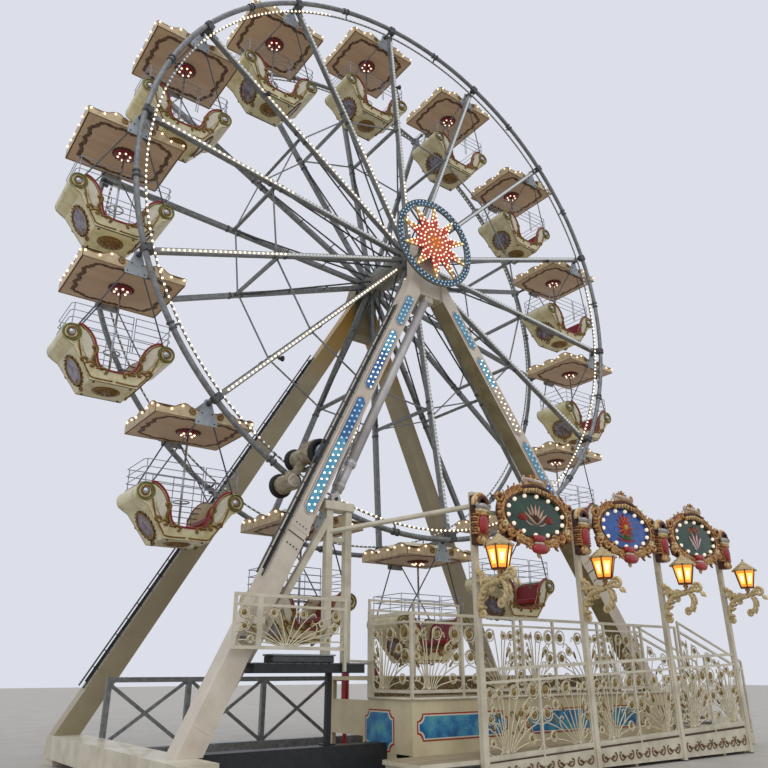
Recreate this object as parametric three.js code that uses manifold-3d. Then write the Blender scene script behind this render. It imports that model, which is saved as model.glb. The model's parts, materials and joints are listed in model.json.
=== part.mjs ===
// Travelling ferris wheel with fourteen hanging cabins.
// Millimetres, +Z up, the wheel turns about the Y axis, the boarding side faces -Y.
// Everything is drawn about a point on the ground below the hub, then moved so that the origin lies on the
// ground at the middle of the whole outline.

import * as THREE from 'three';
import { mergeVertices } from 'three/addons/utils/BufferGeometryUtils.js';
import Module from 'manifold-3d';

const wasm = await Module();
wasm.setup();

// Driving dimensions
const wheelRadius = 7000;
const hubHeight = 11220;
const cabinCount = 14;
const firstAngle = THREE.MathUtils.degToRad(-32.05);
const seat = 0.3;
const nearRimY = -1415;
const farRimY = 1415;
const rimHalf = 65;
const lightRingRadius = 6800;
const hubNearY = -1086;
const hubFarY = 660;
const spokeHalf = 55;
const tieRadius = 3920;
const shaftRadius = 100;
const drumRadius = 300;
const flangeRadius = 430;
const frontLeg = { x: 5839, y: -2953, slope: 0.5403, lean: 0.129, width: 345, depth: 394 };
const rearLeg = { x: 6060, y: 2420, slope: 0.554, lean: -0.125, width: 410, depth: 360 };
const deckHeight = 1170;
const stepHeight = 1500;
const walkwayHeight = 330;
const fenceLine = -4370;
const facadePosts = [
  { x: -1387, top: 4450, totem: 3530, hood: 4410, lantern: 3280 },
  { x: 1250, top: 4480, totem: 3600, hood: 4510, lantern: 3310 },
  { x: 3800, top: 4525, totem: 3670, hood: 4580, lantern: 3380 },
  { x: 6180, top: 4570, totem: 3710, hood: 4645, lantern: 3450 },
];
const shieldHeights = [4160, 4205, 4260];
const fenceRise = { rail: 0.032, top: 0.043 };

const hubSides = 16;
const pinBore = 43.8;
const frontHead = { lowY: -1800, highY: -1400 };
const rearHead = { lowY: 860, highY: 1300 };
const shaftInset = 110;
const shaftFront = frontHead.lowY + shaftInset;
const shaftRear = rearHead.highY - shaftInset;

const pitch = 2 * Math.PI / cabinCount;

// Materials
function paint(color, roughness, metalness = 0) {
  return new THREE.MeshStandardMaterial({ color, roughness, metalness });
}

const creamPaint = paint(0xd9d0b4, 0.45);
const greySteel = paint(0x8b9094, 0.5, 0.6);
const darkSteel = paint(0x4b4f52, 0.5, 0.6);
const cabinCream = paint(0xcfc7a0, 0.35);
const tyreRubber = paint(0x1c1c1e, 0.85);
const jackRed = paint(0xb01020, 0.4);
const signBlue = paint(0x1d3550, 0.4);
const goldPaint = paint(0x9a6a2c, 0.45, 0.2);

// Turns a closed geometry into a solid that can be joined and cut.
function toSolid(geometry) {
  const bare = geometry.index ? geometry.toNonIndexed() : geometry.clone();
  bare.deleteAttribute('normal');
  bare.deleteAttribute('uv');
  const merged = mergeVertices(bare, 1e-3);
  const mesh = new wasm.Mesh({
    numProp: 3,
    vertProperties: new Float32Array(merged.attributes.position.array),
    triVerts: new Uint32Array(merged.index.array),
  });
  return new wasm.Manifold(mesh);
}

function toGeometry(solid) {
  const mesh = solid.getMesh();
  const geometry = new THREE.BufferGeometry();
  const corners = mesh.vertProperties;
  const step = mesh.numProp;
  const positions = new Float32Array(corners.length / step * 3);
  for (let i = 0; i < corners.length / step; i += 1) {
    positions.set(corners.subarray(i * step, i * step + 3), i * 3);
  }
  geometry.setAttribute('position', new THREE.BufferAttribute(positions, 3));
  geometry.setIndex(new THREE.BufferAttribute(new Uint32Array(mesh.triVerts), 1));
  geometry.computeVertexNormals();
  return geometry;
}

function join(solids) {
  return solids.reduce((sum, item) => sum.add(item));
}

// Box given by its lowest and highest corner.
function block(low, high) {
  const size = [0, 1, 2].map((i) => high[i] - low[i]);
  const geometry = new THREE.BoxGeometry(...size);
  geometry.translate((low[0] + high[0]) / 2, (low[1] + high[1]) / 2, (low[2] + high[2]) / 2);
  return toSolid(geometry);
}

// Box between two points. Its width lies across the run, its depth runs as near to Y as it can.
function bar(from, to, width, depth, across = new THREE.Vector3(0, 1, 0)) {
  const start = new THREE.Vector3(...from);
  const end = new THREE.Vector3(...to);
  const along = end.clone().sub(start);
  const length = along.length();
  along.normalize();
  const side = new THREE.Vector3().crossVectors(across, along).normalize();
  const thick = new THREE.Vector3().crossVectors(along, side);
  const geometry = new THREE.BoxGeometry(width, depth, length);
  const middle = start.clone().add(end).multiplyScalar(0.5);
  const place = new THREE.Matrix4().makeBasis(side, thick, along).setPosition(middle);
  geometry.applyMatrix4(place);
  return toSolid(geometry);
}

function rod(from, to, radius, sides = 8, endRadius = radius) {
  const start = new THREE.Vector3(...from);
  const end = new THREE.Vector3(...to);
  const along = end.clone().sub(start);
  const geometry = new THREE.CylinderGeometry(endRadius, radius, along.length(), sides);
  const up = new THREE.Vector3(0, 1, 0);
  const turn = new THREE.Quaternion().setFromUnitVectors(up, along.clone().normalize());
  geometry.applyQuaternion(turn);
  geometry.translate(...start.add(end).multiplyScalar(0.5).toArray());
  return toSolid(geometry);
}

// Ring or disc about the Y axis at the hub, from a closed profile of [radius, y].
function turned(profile, sides, centre = [0, 0, hubHeight], start = 0) {
  const points = [...profile, profile[0]].map(([radius, y]) => new THREE.Vector2(radius, y));
  const geometry = new THREE.LatheGeometry(points, sides, start);
  geometry.translate(...centre);
  return toSolid(geometry);
}

function ring(inner, outer, lowY, highY, sides, centre, start) {
  return turned([[inner, lowY], [outer, lowY], [outer, highY], [inner, highY]], sides, centre, start);
}

function disc(radius, lowY, highY, sides, centre, start) {
  return turned([[0, lowY], [radius, lowY], [radius, highY], [0, highY]], sides, centre, start);
}

// Flat outline in X and Z, given thickness along Y.
function plate(outline, lowY, highY, holes = [], curveSegments = 8) {
  const isShape = outline instanceof THREE.Shape;
  const shape = isShape ? outline : new THREE.Shape(outline.map((p) => new THREE.Vector2(...p)));
  shape.holes.push(...holes);
  const depth = highY - lowY;
  const geometry = new THREE.ExtrudeGeometry(shape, { depth, bevelEnabled: false, curveSegments });
  geometry.rotateX(Math.PI / 2);
  geometry.translate(0, highY, 0);
  return toSolid(geometry);
}

function onWheel(radius, angle, y) {
  return [radius * Math.sin(angle), y, hubHeight + radius * Math.cos(angle)];
}

function cabinAngle(index) {
  return firstAngle + index * pitch;
}

const group = new THREE.Group();

function addNode(name, solid, material, position = [0, 0, 0]) {
  const mesh = new THREE.Mesh(solid.isBufferGeometry ? solid : toGeometry(solid), material);
  mesh.name = name;
  mesh.position.set(...position);
  group.add(mesh);
}

// Wheel rims: an outer tube, a slim light ring in front of the spokes, brackets and the pins of the cabins.
const cabinY = -210;
const canopyHalfX = 970;
const canopyHalfY = 840;
const hangerPlate = 40;
const pinRadius = 40;
const pinSides = 6;
const ringSides = cabinCount * 3;
const lightHalf = 30;
const lightThickness = 26;
const spokeClearance = 10;

function spokeY(side, radius) {
  const hubY = side < 0 ? hubNearY : hubFarY;
  const rimY = (side < 0 ? nearRimY : farRimY) - side * (rimHalf + spokeHalf + spokeClearance);
  return hubY + (rimY - hubY) * (radius - drumRadius) / (wheelRadius - drumRadius);
}

// The light ring of either side faces the front, so the far one lies on the far side of its brackets.
function lightRingY(side) {
  const face = spokeY(side, lightRingRadius + lightHalf) + side * (spokeHalf + 0.3);
  return face + side * (lightThickness / 2 + 0.5);
}

function pinSolid(side, index, grow) {
  const angle = cabinAngle(index);
  const start = side < 0 ? nearRimY : farRimY;
  const end = cabinY + side * canopyHalfY;
  const ends = [start, end].map((y) => onWheel(wheelRadius, angle, y));
  return rod(...ends, pinRadius + grow, pinSides);
}

function rimSolid(side) {
  const rimY = side < 0 ? nearRimY : farRimY;
  const lightY = lightRingY(side);
  const lightBack = lightY - lightThickness / 2;
  const hoop = (radius, half, back, thickness) => (
    ring(radius - half, radius + half, back, back + thickness, ringSides, undefined, firstAngle)
  );
  const pieces = [
    hoop(wheelRadius, rimHalf, rimY - rimHalf, 2 * rimHalf),
    hoop(lightRingRadius, lightHalf, lightBack, lightThickness),
  ];
  for (let i = 0; i < cabinCount; i += 1) {
    const middle = cabinAngle(i) + pitch / 2;
    pieces.push(pinSolid(side, i, 0));
    pieces.push(bar(onWheel(wheelRadius - 30, middle, rimY - side * (rimHalf - 15)),
      onWheel(lightRingRadius, middle, lightY), 40, 20));
  }
  return join(pieces);
}

addNode('rim_near', rimSolid(-1), greySteel);
addNode('rim_far', rimSolid(1), greySteel);

// Spokes: fourteen bars on each side, from a flange on the hub out to the cabin pins.
const flangeThickness = 40;

function spokeSolid(side) {
  const flangeBack = spokeY(side, drumRadius) - flangeThickness / 2;
  const pieces = [ring(shaftRadius + seat, flangeRadius, flangeBack, flangeBack + flangeThickness, hubSides)];
  const inner = drumRadius;
  const outer = wheelRadius - pinRadius - 7;
  for (let i = 0; i < cabinCount; i += 1) {
    const angle = cabinAngle(i);
    pieces.push(bar(onWheel(inner, angle, spokeY(side, inner)), onWheel(outer, angle, spokeY(side, outer)),
      2 * spokeHalf, 2 * spokeHalf));
  }
  return join(pieces);
}

addNode('spokes_near', spokeSolid(-1), greySteel);
addNode('spokes_far', spokeSolid(1), greySteel);

// Ties: a cross tube between each pair of spokes, joined all round by two thin polygons.
function tieSolid() {
  const pieces = [];
  const tubeHalf = 35;
  const thin = 30;
  const slopes = [-1, 1].map((side) => Math.abs(spokeY(side, wheelRadius) - spokeY(side, 0)) / wheelRadius);
  const reach = slopes.map((slope) => spokeHalf * Math.hypot(1, slope) + tubeHalf * slope + seat);
  const lowY = spokeY(-1, tieRadius) + reach[0];
  const highY = spokeY(1, tieRadius) - reach[1];
  const ringInset = 80;
  for (let i = 0; i < cabinCount; i += 1) {
    const angle = cabinAngle(i);
    const next = cabinAngle(i + 1);
    const across = new THREE.Vector3(Math.cos(angle), 0, -Math.sin(angle));
    const ends = [lowY, highY].map((y) => onWheel(tieRadius, angle, y));
    pieces.push(bar(ends[0], ends[1], 2 * tubeHalf, 2 * tubeHalf, across));
    for (const y of [lowY + ringInset, highY - ringInset]) {
      pieces.push(bar(onWheel(tieRadius, angle, y), onWheel(tieRadius, next, y), thin, thin));
    }
  }
  return join(pieces);
}

addNode('spoke_ties', tieSolid(), darkSteel);

// Hub: a drum between the flanges and a shaft that runs out into both bearings.
function hubSolid() {
  const flangeFront = spokeY(-1, drumRadius) + flangeThickness / 2 + seat;
  const flangeRear = spokeY(1, drumRadius) - flangeThickness / 2 - seat;
  const cone = 160;
  return turned([
    [0, shaftFront], [shaftRadius, shaftFront], [shaftRadius, flangeFront], [150, flangeFront],
    [drumRadius, flangeFront + cone], [drumRadius, flangeRear - cone],
    [150, flangeRear], [shaftRadius, flangeRear], [shaftRadius, shaftRear], [0, shaftRear],
  ], hubSides);
}

addNode('hub_drum', hubSolid(), greySteel);

// Cabin, drawn about its own axle: canopy, hangers and a boat shaped tub with two benches.
const canopyUnder = -330;
const canopyEave = -150;
const tubBottom = -2500;
const tubFloor = -2420;
const benchTop = -2020;
const scrollX = 860;
const scrollZ = -1720;
const scrollRadius = 170;
const tubHalfDepth = 550;
const tubWall = 40;
const wellHalf = 360;
const doorSill = 150;

function roofSolid() {
  const corners = [[-1, -1], [1, -1], [1, 1], [-1, 1]].map(([x, y]) => [x * canopyHalfX, y * canopyHalfY]);
  const points = [
    ...corners.map(([x, y]) => [x, y, canopyUnder]),
    ...corners.map(([x, y]) => [x, y, canopyEave]),
    [-400, 0, 60],
    [400, 0, 60],
  ];
  const faces = [
    [0, 3, 2], [0, 2, 1], [0, 1, 5], [0, 5, 4], [1, 2, 6], [1, 6, 5], [2, 3, 7], [2, 7, 6], [3, 0, 4], [3, 4, 7],
    [4, 5, 9], [4, 9, 8], [5, 6, 9], [6, 7, 8], [6, 8, 9], [7, 4, 8],
  ];
  const geometry = new THREE.BufferGeometry();
  geometry.setAttribute('position', new THREE.Float32BufferAttribute(faces.flat().flatMap((i) => points[i]), 3));
  return toSolid(geometry);
}

function tubOutline() {
  const shape = new THREE.Shape();
  shape.moveTo(-420, tubBottom);
  shape.lineTo(420, tubBottom);
  shape.lineTo(800, -1960);
  shape.lineTo(1000, -1820);
  shape.absarc(scrollX, scrollZ, scrollRadius, -0.4, Math.PI * 0.55, false);
  shape.absarc(-scrollX, scrollZ, scrollRadius, Math.PI * 0.45, Math.PI + 0.4, false);
  shape.lineTo(-1000, -1820);
  shape.lineTo(-800, -1960);
  return shape;
}

// The space inside: a foot well between the benches and the room above them.
function roomOutline() {
  const top = scrollZ + scrollRadius + 100;
  return [
    [-wellHalf, tubFloor], [wellHalf, tubFloor], [wellHalf, benchTop], [700, benchTop], [830, scrollZ - 60],
    [830, top], [-830, top], [-830, scrollZ - 60], [-700, benchTop], [-wellHalf, benchTop],
  ];
}

function doorOutline() {
  const shape = new THREE.Shape();
  shape.moveTo(-330, tubFloor + doorSill);
  shape.lineTo(330, tubFloor + doorSill);
  shape.lineTo(365, -2120);
  shape.quadraticCurveTo(390, -1740, 760, scrollZ + 190);
  shape.lineTo(-760, scrollZ + 190);
  shape.quadraticCurveTo(-390, -1740, -365, -2120);
  return shape;
}

// Draws the walls in towards the bottom of the tub.
function narrowed(solid) {
  return solid.warp((point) => {
    const share = THREE.MathUtils.clamp((scrollZ - point[2]) / (scrollZ - tubBottom), 0, 1);
    point[1] *= 1 - share * 0.16;
  });
}

function tubSolid() {
  const hull = plate(tubOutline(), -tubHalfDepth, tubHalfDepth, [], 3);
  const room = plate(roomOutline(), -tubHalfDepth + tubWall, tubHalfDepth - tubWall);
  const doors = plate(doorOutline(), -tubHalfDepth - 50, tubHalfDepth + 50, [], 3);
  return narrowed(hull.subtract(room).subtract(doors));
}

// The hanger block at each end of the canopy, bored for the pin on the rim.
function hangerSolid(side) {
  const outline = [[-150, canopyUnder], [150, canopyUnder], [90, 90], [-90, 90]];
  const face = side * (canopyHalfY - 5);
  const outer = side * (canopyHalfY + hangerPlate);
  return plate(outline, Math.min(face, outer), Math.max(face, outer));
}

function cabinSolid() {
  const pieces = [roofSolid(), tubSolid()];
  const bores = [];
  for (const side of [-1, 1]) {
    pieces.push(hangerSolid(side));
    const ends = [side * (canopyHalfY - 2), side * (canopyHalfY + 60)];
    bores.push(disc(pinBore, Math.min(...ends), Math.max(...ends), 8, [0, 0, 0]));
    for (const end of [-1, 1]) {
      pieces.push(bar([end * 130, side * (canopyHalfY - 20), canopyUnder + 20],
        [end * (scrollX - 60), side * (tubHalfDepth - 18), scrollZ + 140], 26, 26));
    }
  }
  return join(pieces).subtract(join(bores));
}

const cabinGeometry = toGeometry(cabinSolid());
for (let i = 0; i < cabinCount; i += 1) {
  const name = `cabin_${String(i + 1).padStart(2, '0')}`;
  addNode(name, cabinGeometry, cabinCream, onWheel(wheelRadius, cabinAngle(i), cabinY));
}

// Legs: two sloping box legs in front and two behind, from the outriggers to the bearing heads.
const baseTop = 500;
const headHalf = 350;
const headBottom = 9850;

function legPoint(leg, side, z) {
  return [side * (leg.x - leg.slope * z), leg.y + leg.lean * z, z];
}

// Box that runs from any two opposite corners.
function span(a, b) {
  return block(a.map((value, i) => Math.min(value, b[i])), a.map((value, i) => Math.max(value, b[i])));
}

function legSolid(leg, side, grow = 0) {
  const ends = [-200, hubHeight - 200].map((z) => legPoint(leg, side, z));
  const beam = bar(ends[0], ends[1], leg.width + 2 * grow, leg.depth + 2 * grow);
  const keep = span([side * (headHalf + seat), -9000, baseTop + seat], [side * 9000, 9000, hubHeight]);
  return beam.intersect(keep);
}

addNode('leg_front_left', legSolid(frontLeg, -1), creamPaint);
addNode('leg_front_right', legSolid(frontLeg, 1), creamPaint);
addNode('leg_rear_left', legSolid(rearLeg, -1), creamPaint);
addNode('leg_rear_right', legSolid(rearLeg, 1), creamPaint);

// Bearing heads where the legs meet, bored for the shaft.
const shaftBore = 101.4;
const headShoulder = 10950;
const headTop = 11500;
const headTopHalf = 200;

function boredHead(range) {
  const bore = disc(shaftBore, range.lowY - 50, range.highY + 50, 24);
  const outline = [
    [-headHalf, headBottom], [headHalf, headBottom], [headHalf, headShoulder],
    [headTopHalf, headTop], [-headTopHalf, headTop], [-headHalf, headShoulder],
  ];
  return plate(outline, range.lowY, range.highY).subtract(bore);
}

addNode('bearing_head_front', boredHead(frontHead), creamPaint);
addNode('bearing_head_rear', boredHead(rearHead), creamPaint);

// Star sign: a ten pointed star inside a ring, on a boss in front of the hub.
const signBack = -2010;
const signFront = -2070;
const signRadius = 1150;
const signBand = 175;
const starPoints = 10;
const starValley = 430;

function starSolid() {
  const outline = [];
  for (let i = 0; i < starPoints * 2; i += 1) {
    const radius = i % 2 === 0 ? signRadius - signBand + 20 : starValley;
    const angle = i * Math.PI / starPoints;
    outline.push([radius * Math.sin(angle), hubHeight + radius * Math.cos(angle)]);
  }
  return join([
    plate(outline, signFront + 10, signBack),
    ring(signRadius - signBand, signRadius, signFront, signBack, 32),
    disc(200, signBack - 20, frontHead.lowY - seat, 12),
  ]);
}

addNode('star_sign', starSolid(), signBlue);

// Lift strut: a two stage tube beside the front left leg, from the bearing head down to the strut posts.
const strutTop = [10, -1670, 9870];
const strutFoot = [-2970, -2390, 4400];
const strutRadius = 100;
const strutLowerRadius = 80;
const strutJoint = 0.845;
const strutPostX = [-3110, -2715];
const strutPostY = -2500;
const strutPostHalf = 65;
const strutCapBottom = 4250;
const strutCapTop = 4400;

function alongStrut(share) {
  return strutTop.map((value, i) => value + (strutFoot[i] - value) * share);
}

function strutSolid() {
  const upper = rod(alongStrut(-0.1), alongStrut(strutJoint), strutRadius, 10);
  const lower = rod(alongStrut(strutJoint - 0.02), alongStrut(1.1), strutLowerRadius, 10);
  const headBelow = block([-1000, -3000, headBottom - seat], [1000, 0, 12000]);
  const capAbove = block([-5000, -4000, 3000], [0, 0, strutCapTop + seat]);
  const ear = block([-130, -1790, headBottom - 150], [110, -1560, headBottom - seat]);
  return upper.add(lower).subtract(headBelow).add(ear).subtract(capAbove);
}

addNode('lift_strut', strutSolid(), creamPaint);

function strutPostSolid() {
  const half = strutPostHalf;
  const pieces = strutPostX.map((x) => (
    block([x - half, strutPostY - half, baseTop + seat], [x + half, strutPostY + half, strutCapBottom + 10])
  ));
  pieces.push(block([-3220, -2600, strutCapBottom], [-2620, -2290, strutCapTop]));
  for (const z of [1500, 2700, 3700]) {
    pieces.push(block([strutPostX[0], strutPostY - 35, z], [strutPostX[1], strutPostY + 35, z + 80]));
  }
  const floor = block([-7000, -4000, -500], [-4000, 0, baseTop + seat]);
  pieces.push(bar([-3090, strutPostY, 4130], [-5340, strutPostY, 400], 120, 110).subtract(floor));
  return join(pieces);
}

addNode('strut_posts', strutPostSolid(), creamPaint);

// Drive: a pair of motors behind the front left leg turns two tyres that pinch the near rim.
const driveAngle = Math.PI + THREE.MathUtils.degToRad(28.9);
const tyreRadius = 230;
const tyreFront = -1480;
const tyreBack = -1390;
const innerTyreRadius = (wheelRadius - rimHalf) * Math.cos(Math.PI / ringSides) - tyreRadius - 0.5;
const outerTyreRadius = wheelRadius + rimHalf + tyreRadius + 0.5;
const innerTyre = onWheel(innerTyreRadius, driveAngle, 0);
const outerTyre = onWheel(outerTyreRadius, driveAngle, 0);
const stubFront = tyreFront - 20;

function tyreSolid(centre) {
  const place = [centre[0], 0, centre[2]];
  return turned([
    [0, stubFront], [35, stubFront], [35, tyreFront + 10], [tyreRadius - 40, tyreFront + 10],
    [tyreRadius - 30, tyreFront], [tyreRadius, tyreFront + 15], [tyreRadius, tyreBack - 15],
    [tyreRadius - 30, tyreBack], [0, tyreBack],
  ], 24, place);
}

addNode('drive_tyre_inner', tyreSolid(innerTyre), tyreRubber);
addNode('drive_tyre_outer', tyreSolid(outerTyre), tyreRubber);

function driveSolid() {
  const upper = [innerTyre[0], 0, innerTyre[2]];
  const lower = [outerTyre[0], 0, outerTyre[2]];
  const face = stubFront - 0.5;
  return join([
    disc(130, -2110, face, 12, upper),
    disc(230, -2220, -2100, 16, upper),
    disc(130, -2300, -2210, 12, upper),
    disc(120, -1950, face, 12, lower),
    bar([upper[0], -1800, upper[2]], [lower[0], -1800, lower[2]], 160, 90),
    block([-3300, -2420, 5200], [-2850, -2000, 5600]),
  ]).subtract(legSolid(frontLeg, -1, seat));
}

addNode('drive_frame', driveSolid(), darkSteel);

// Base: two outriggers along Y, a beam along the front and a braced truss behind the pit.
const outriggerInner = 5460;
const outriggerOuter = 6020;
const outriggerFront = -3800;
const outriggerBack = 2700;
const padThickness = 120;
const padPlaces = [-3450, -600, 2350];

function outriggerSolid(side) {
  const pieces = [span([side * outriggerInner, outriggerFront, padThickness - 5],
    [side * outriggerOuter, outriggerBack, baseTop])];
  for (const y of padPlaces) {
    const corners = [[outriggerInner + 30, y - 250, 0], [outriggerOuter - 30, y + 250, padThickness]];
    pieces.push(span(...corners.map(([x, ...rest]) => [side * x, ...rest])));
  }
  return join(pieces);
}

addNode('outrigger_left', outriggerSolid(-1), creamPaint);
addNode('outrigger_right', outriggerSolid(1), creamPaint);

const beamEnd = outriggerInner - seat;
const beamY = -2580;
const beamSolid = block([-beamEnd, beamY - 150, padThickness], [beamEnd, beamY + 150, baseTop]);

addNode('base_beam_front', beamSolid, creamPaint);

const trussY = 1250;
const trussHalf = 50;
const trussLow = 300;
const trussHigh = 1500;
const trussInner = 560;
const trussBays = 3;

function trussSolid() {
  const low = trussY - trussHalf;
  const high = trussY + trussHalf;
  const bay = (beamEnd - trussInner) / trussBays;
  const pieces = [block([-beamEnd, trussY - 100, padThickness], [beamEnd, trussY + 100, trussLow])];
  for (const side of [-1, 1]) {
    pieces.push(span([side * trussInner, low, trussHigh - 90], [side * beamEnd, high, trussHigh]));
    for (let i = 0; i <= trussBays; i += 1) {
      const inner = i === trussBays ? beamEnd - 90 : trussInner + i * bay;
      pieces.push(span([side * inner, low, trussLow - 10], [side * (inner + 90), high, trussHigh]));
    }
    for (let i = 0; i < trussBays; i += 1) {
      const start = trussInner + i * bay + 45;
      const ends = [[start, trussLow - 5], [start + bay, trussHigh - 45]];
      const [[x1, z1], [x2, z2]] = ends;
      pieces.push(bar([side * x1, trussY, z1], [side * x2, trussY, z2], 60, 40));
      pieces.push(bar([side * x1, trussY, z2], [side * x2, trussY, z1], 60, 40));
    }
  }
  const keep = block([-beamEnd, trussY - 200, padThickness], [beamEnd, trussY + 200, trussHigh]);
  return join(pieces).intersect(keep);
}

addNode('rear_base_truss', trussSolid(), greySteel);

// Jacks: screw feet clamped to the inner ends of the truss.
const jackX = 400;
const jackY = 950;

function jackSolid(side) {
  const x = side * jackX;
  const stand = (radius, low, high, sides) => rod([x, jackY, low], [x, jackY, high], radius, sides);
  const pieces = [
    stand(150, 0, 30, 12), stand(45, 25, 560, 8), stand(85, 450, 1600, 12), stand(110, 1590, 1680, 12),
  ];
  for (const z of [500, 1400]) {
    pieces.push(span([x - side * 40, jackY - 40, z], [side * 640, trussY - trussHalf - seat, z + 90]));
  }
  return join(pieces);
}

addNode('jack_left', jackSolid(-1), jackRed);
addNode('jack_right', jackSolid(1), jackRed);

// Deck: the raised boarding floor with a step, a skirt in front and at its left, and cross frames.
const deckLeft = -2000;
const deckRight = 5040;
const deckFront = -3400;
const deckBack = -900;
const stepFront = -2200;
const landingRight = 5740;
const floorThickness = 60;
const skirtThickness = 30;
const skirtLow = walkwayHeight + seat;
const legClearance = 25;

function deckSolid() {
  const under = deckHeight - floorThickness;
  const pieces = [
    block([deckLeft, deckFront, under], [deckRight, stepFront + 20, deckHeight]),
    block([deckRight - 20, deckFront, under], [landingRight, stepFront, deckHeight]),
    block([deckLeft, stepFront, stepHeight - floorThickness], [deckRight, deckBack, stepHeight]),
    block([deckLeft, stepFront, under], [deckRight, stepFront + 30, stepHeight]),
    block([deckLeft, deckFront, skirtLow], [deckRight, deckFront + skirtThickness, deckHeight]),
    block([deckLeft, deckFront, baseTop + 60], [deckLeft + skirtThickness, deckBack, under + 10]),
  ];
  for (const x of [deckLeft + 60, 430, 2740, deckRight - 60]) {
    const stands = [
      [deckFront + 80, 0, under],
      [beamY, baseTop + seat, under],
      [deckBack - 80, 0, stepHeight - floorThickness],
    ];
    for (const [y, foot, top] of stands) {
      pieces.push(block([x - 40, y - 40, foot], [x + 40, y + 40, top + 10]));
    }
    pieces.push(block([x - 30, deckFront + 20, under - 120], [x + 30, deckBack - 40, under + 10]));
  }
  return join(pieces).subtract(legSolid(frontLeg, 1, legClearance));
}

addNode('deck', deckSolid(), creamPaint);

// Railing around the front and left side of the deck, and a barrier on the step at the left.
const railTop = 2520;
const railEnd = 5620;
const railBreak = 4330;
const railHalf = 20;
const frontUprights = [-1995, -880, 430, 630, 1500, 2850, 3050, 3930, 4305];
const barrierPosts = [-2000, -985, 150];
const barrierTop = 2810;
const barrierDepth = 40;

function railingFrame(low, high, first, last, place, uprights) {
  const pieces = [
    place(first, last, low + 80, low + 130),
    place(first, last, high - 50, high),
    place(first, last, high - 180, high - 145),
  ];
  for (const at of uprights) {
    pieces.push(place(at - 25, at + 25, low, high));
  }
  return join(pieces);
}

function deckRailingSolid() {
  const half = railHalf;
  const frontPlace = (a, b, low, high) => block([a, deckFront - half, low], [b, deckFront + half, high]);
  const sidePlace = (a, b, low, high) => block([deckLeft - half, a, low], [deckLeft + half, b, high]);
  const foot = deckHeight + seat;
  const barrierPlace = (a, b, low, high) => block([a, stepFront, low], [b, stepFront + barrierDepth, high]);
  const rearPost = [[deckLeft - 40, stepFront - 85, foot], [deckLeft + 40, stepFront - 5, railTop + 80]];
  return join([
    railingFrame(foot, railTop, deckLeft - railHalf, railBreak, frontPlace, frontUprights),
    railingFrame(foot, railTop, deckFront, stepFront - 30, sidePlace, [deckFront + 5, stepFront - 110]),
    frontPlace(railBreak - 10, railEnd, railTop - 50, railTop),
    frontPlace(railEnd - 50, railEnd, foot, railTop),
    block(...rearPost),
    block([deckLeft, stepFront - 20, railTop - 100], [deckLeft + 40, stepFront + 10, railTop - 40]),
    barrierPlace(barrierPosts[0], barrierPosts[2], barrierTop - 35, barrierTop),
    barrierPlace(barrierPosts[0], barrierPosts[2], barrierTop - 210, barrierTop - 175),
    ...barrierPosts.map((x) => barrierPlace(x, x + 40, stepHeight + seat, barrierTop)),
  ]);
}

addNode('deck_railing', deckRailingSolid(), creamPaint);

// Stairs at the right end of the deck with a sloping railing on both sides.
const treadCount = 6;
const treadGoing = 410;
const treadDrop = 136.5;
const treadThickness = 40;
const topTread = 1000;
const stairLeft = landingRight + seat;
const stairRight = stairLeft + treadCount * treadGoing + 30;
const stairFront = deckFront;
const stairBack = stepFront;
const stairSide = 40;
const stairSlope = treadDrop / treadGoing;
const stairPost = 50;

function stairDrop(x) {
  return stairSlope * (x - stairLeft);
}

function stairSolid() {
  const pieces = [];
  for (let i = 0; i < treadCount; i += 1) {
    const top = topTread - i * treadDrop;
    const x = stairLeft + i * treadGoing;
    pieces.push(block([x, stairFront, top - treadThickness], [x + treadGoing + 30, stairBack, top]));
  }
  for (const y of [stairFront, stairBack - stairSide]) {
    const sloping = (high, thickness) => {
      const low = high - thickness;
      const drop = stairDrop(stairRight);
      const end = [[stairRight, low - drop], [stairRight, high - drop]];
      const points = [[stairLeft, low], ...end, [stairLeft, high]];
      return plate(points, y, y + stairSide);
    };
    const post = (x, low) => block([x, y, low], [x + stairPost, y + stairSide, 2620 - stairDrop(x)]);
    const stringer = sloping(1060, 250).intersect(block([0, -9000, 0], [9000, 0, 3000]));
    pieces.push(stringer, sloping(2450, 50), sloping(2640, 40));
    pieces.push(post(stairLeft, topTread - 60), post(stairRight - stairPost, 0));
  }
  return join(pieces);
}

addNode('stairs', stairSolid(), creamPaint);

// Walkway between the front fence and the deck.
function walkwaySolid() {
  const back = deckFront - seat;
  const front = fenceLine + 50 + seat;
  const pieces = [
    block([-2600, front, walkwayHeight - 60], [5400, back, walkwayHeight]),
    block([5390, front, walkwayHeight - 60], [6160, outriggerFront - 50, walkwayHeight]),
  ];
  for (const x of [-2500, 0, 2400, 5300]) {
    pieces.push(block([x - 40, front, 0], [x + 40, back, walkwayHeight - 50]));
  }
  pieces.push(block([6060, front, 0], [6150, outriggerFront - 50, walkwayHeight - 50]));
  return join(pieces);
}

addNode('walkway', walkwaySolid(), creamPaint);

// Left fence: a short panel clamped to the front left leg and linked to the rear post of the deck railing.
const leftFence = { left: -5060, right: -3060, y: -3070, low: 1890, high: 2690, foot: 1580 };

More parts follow.
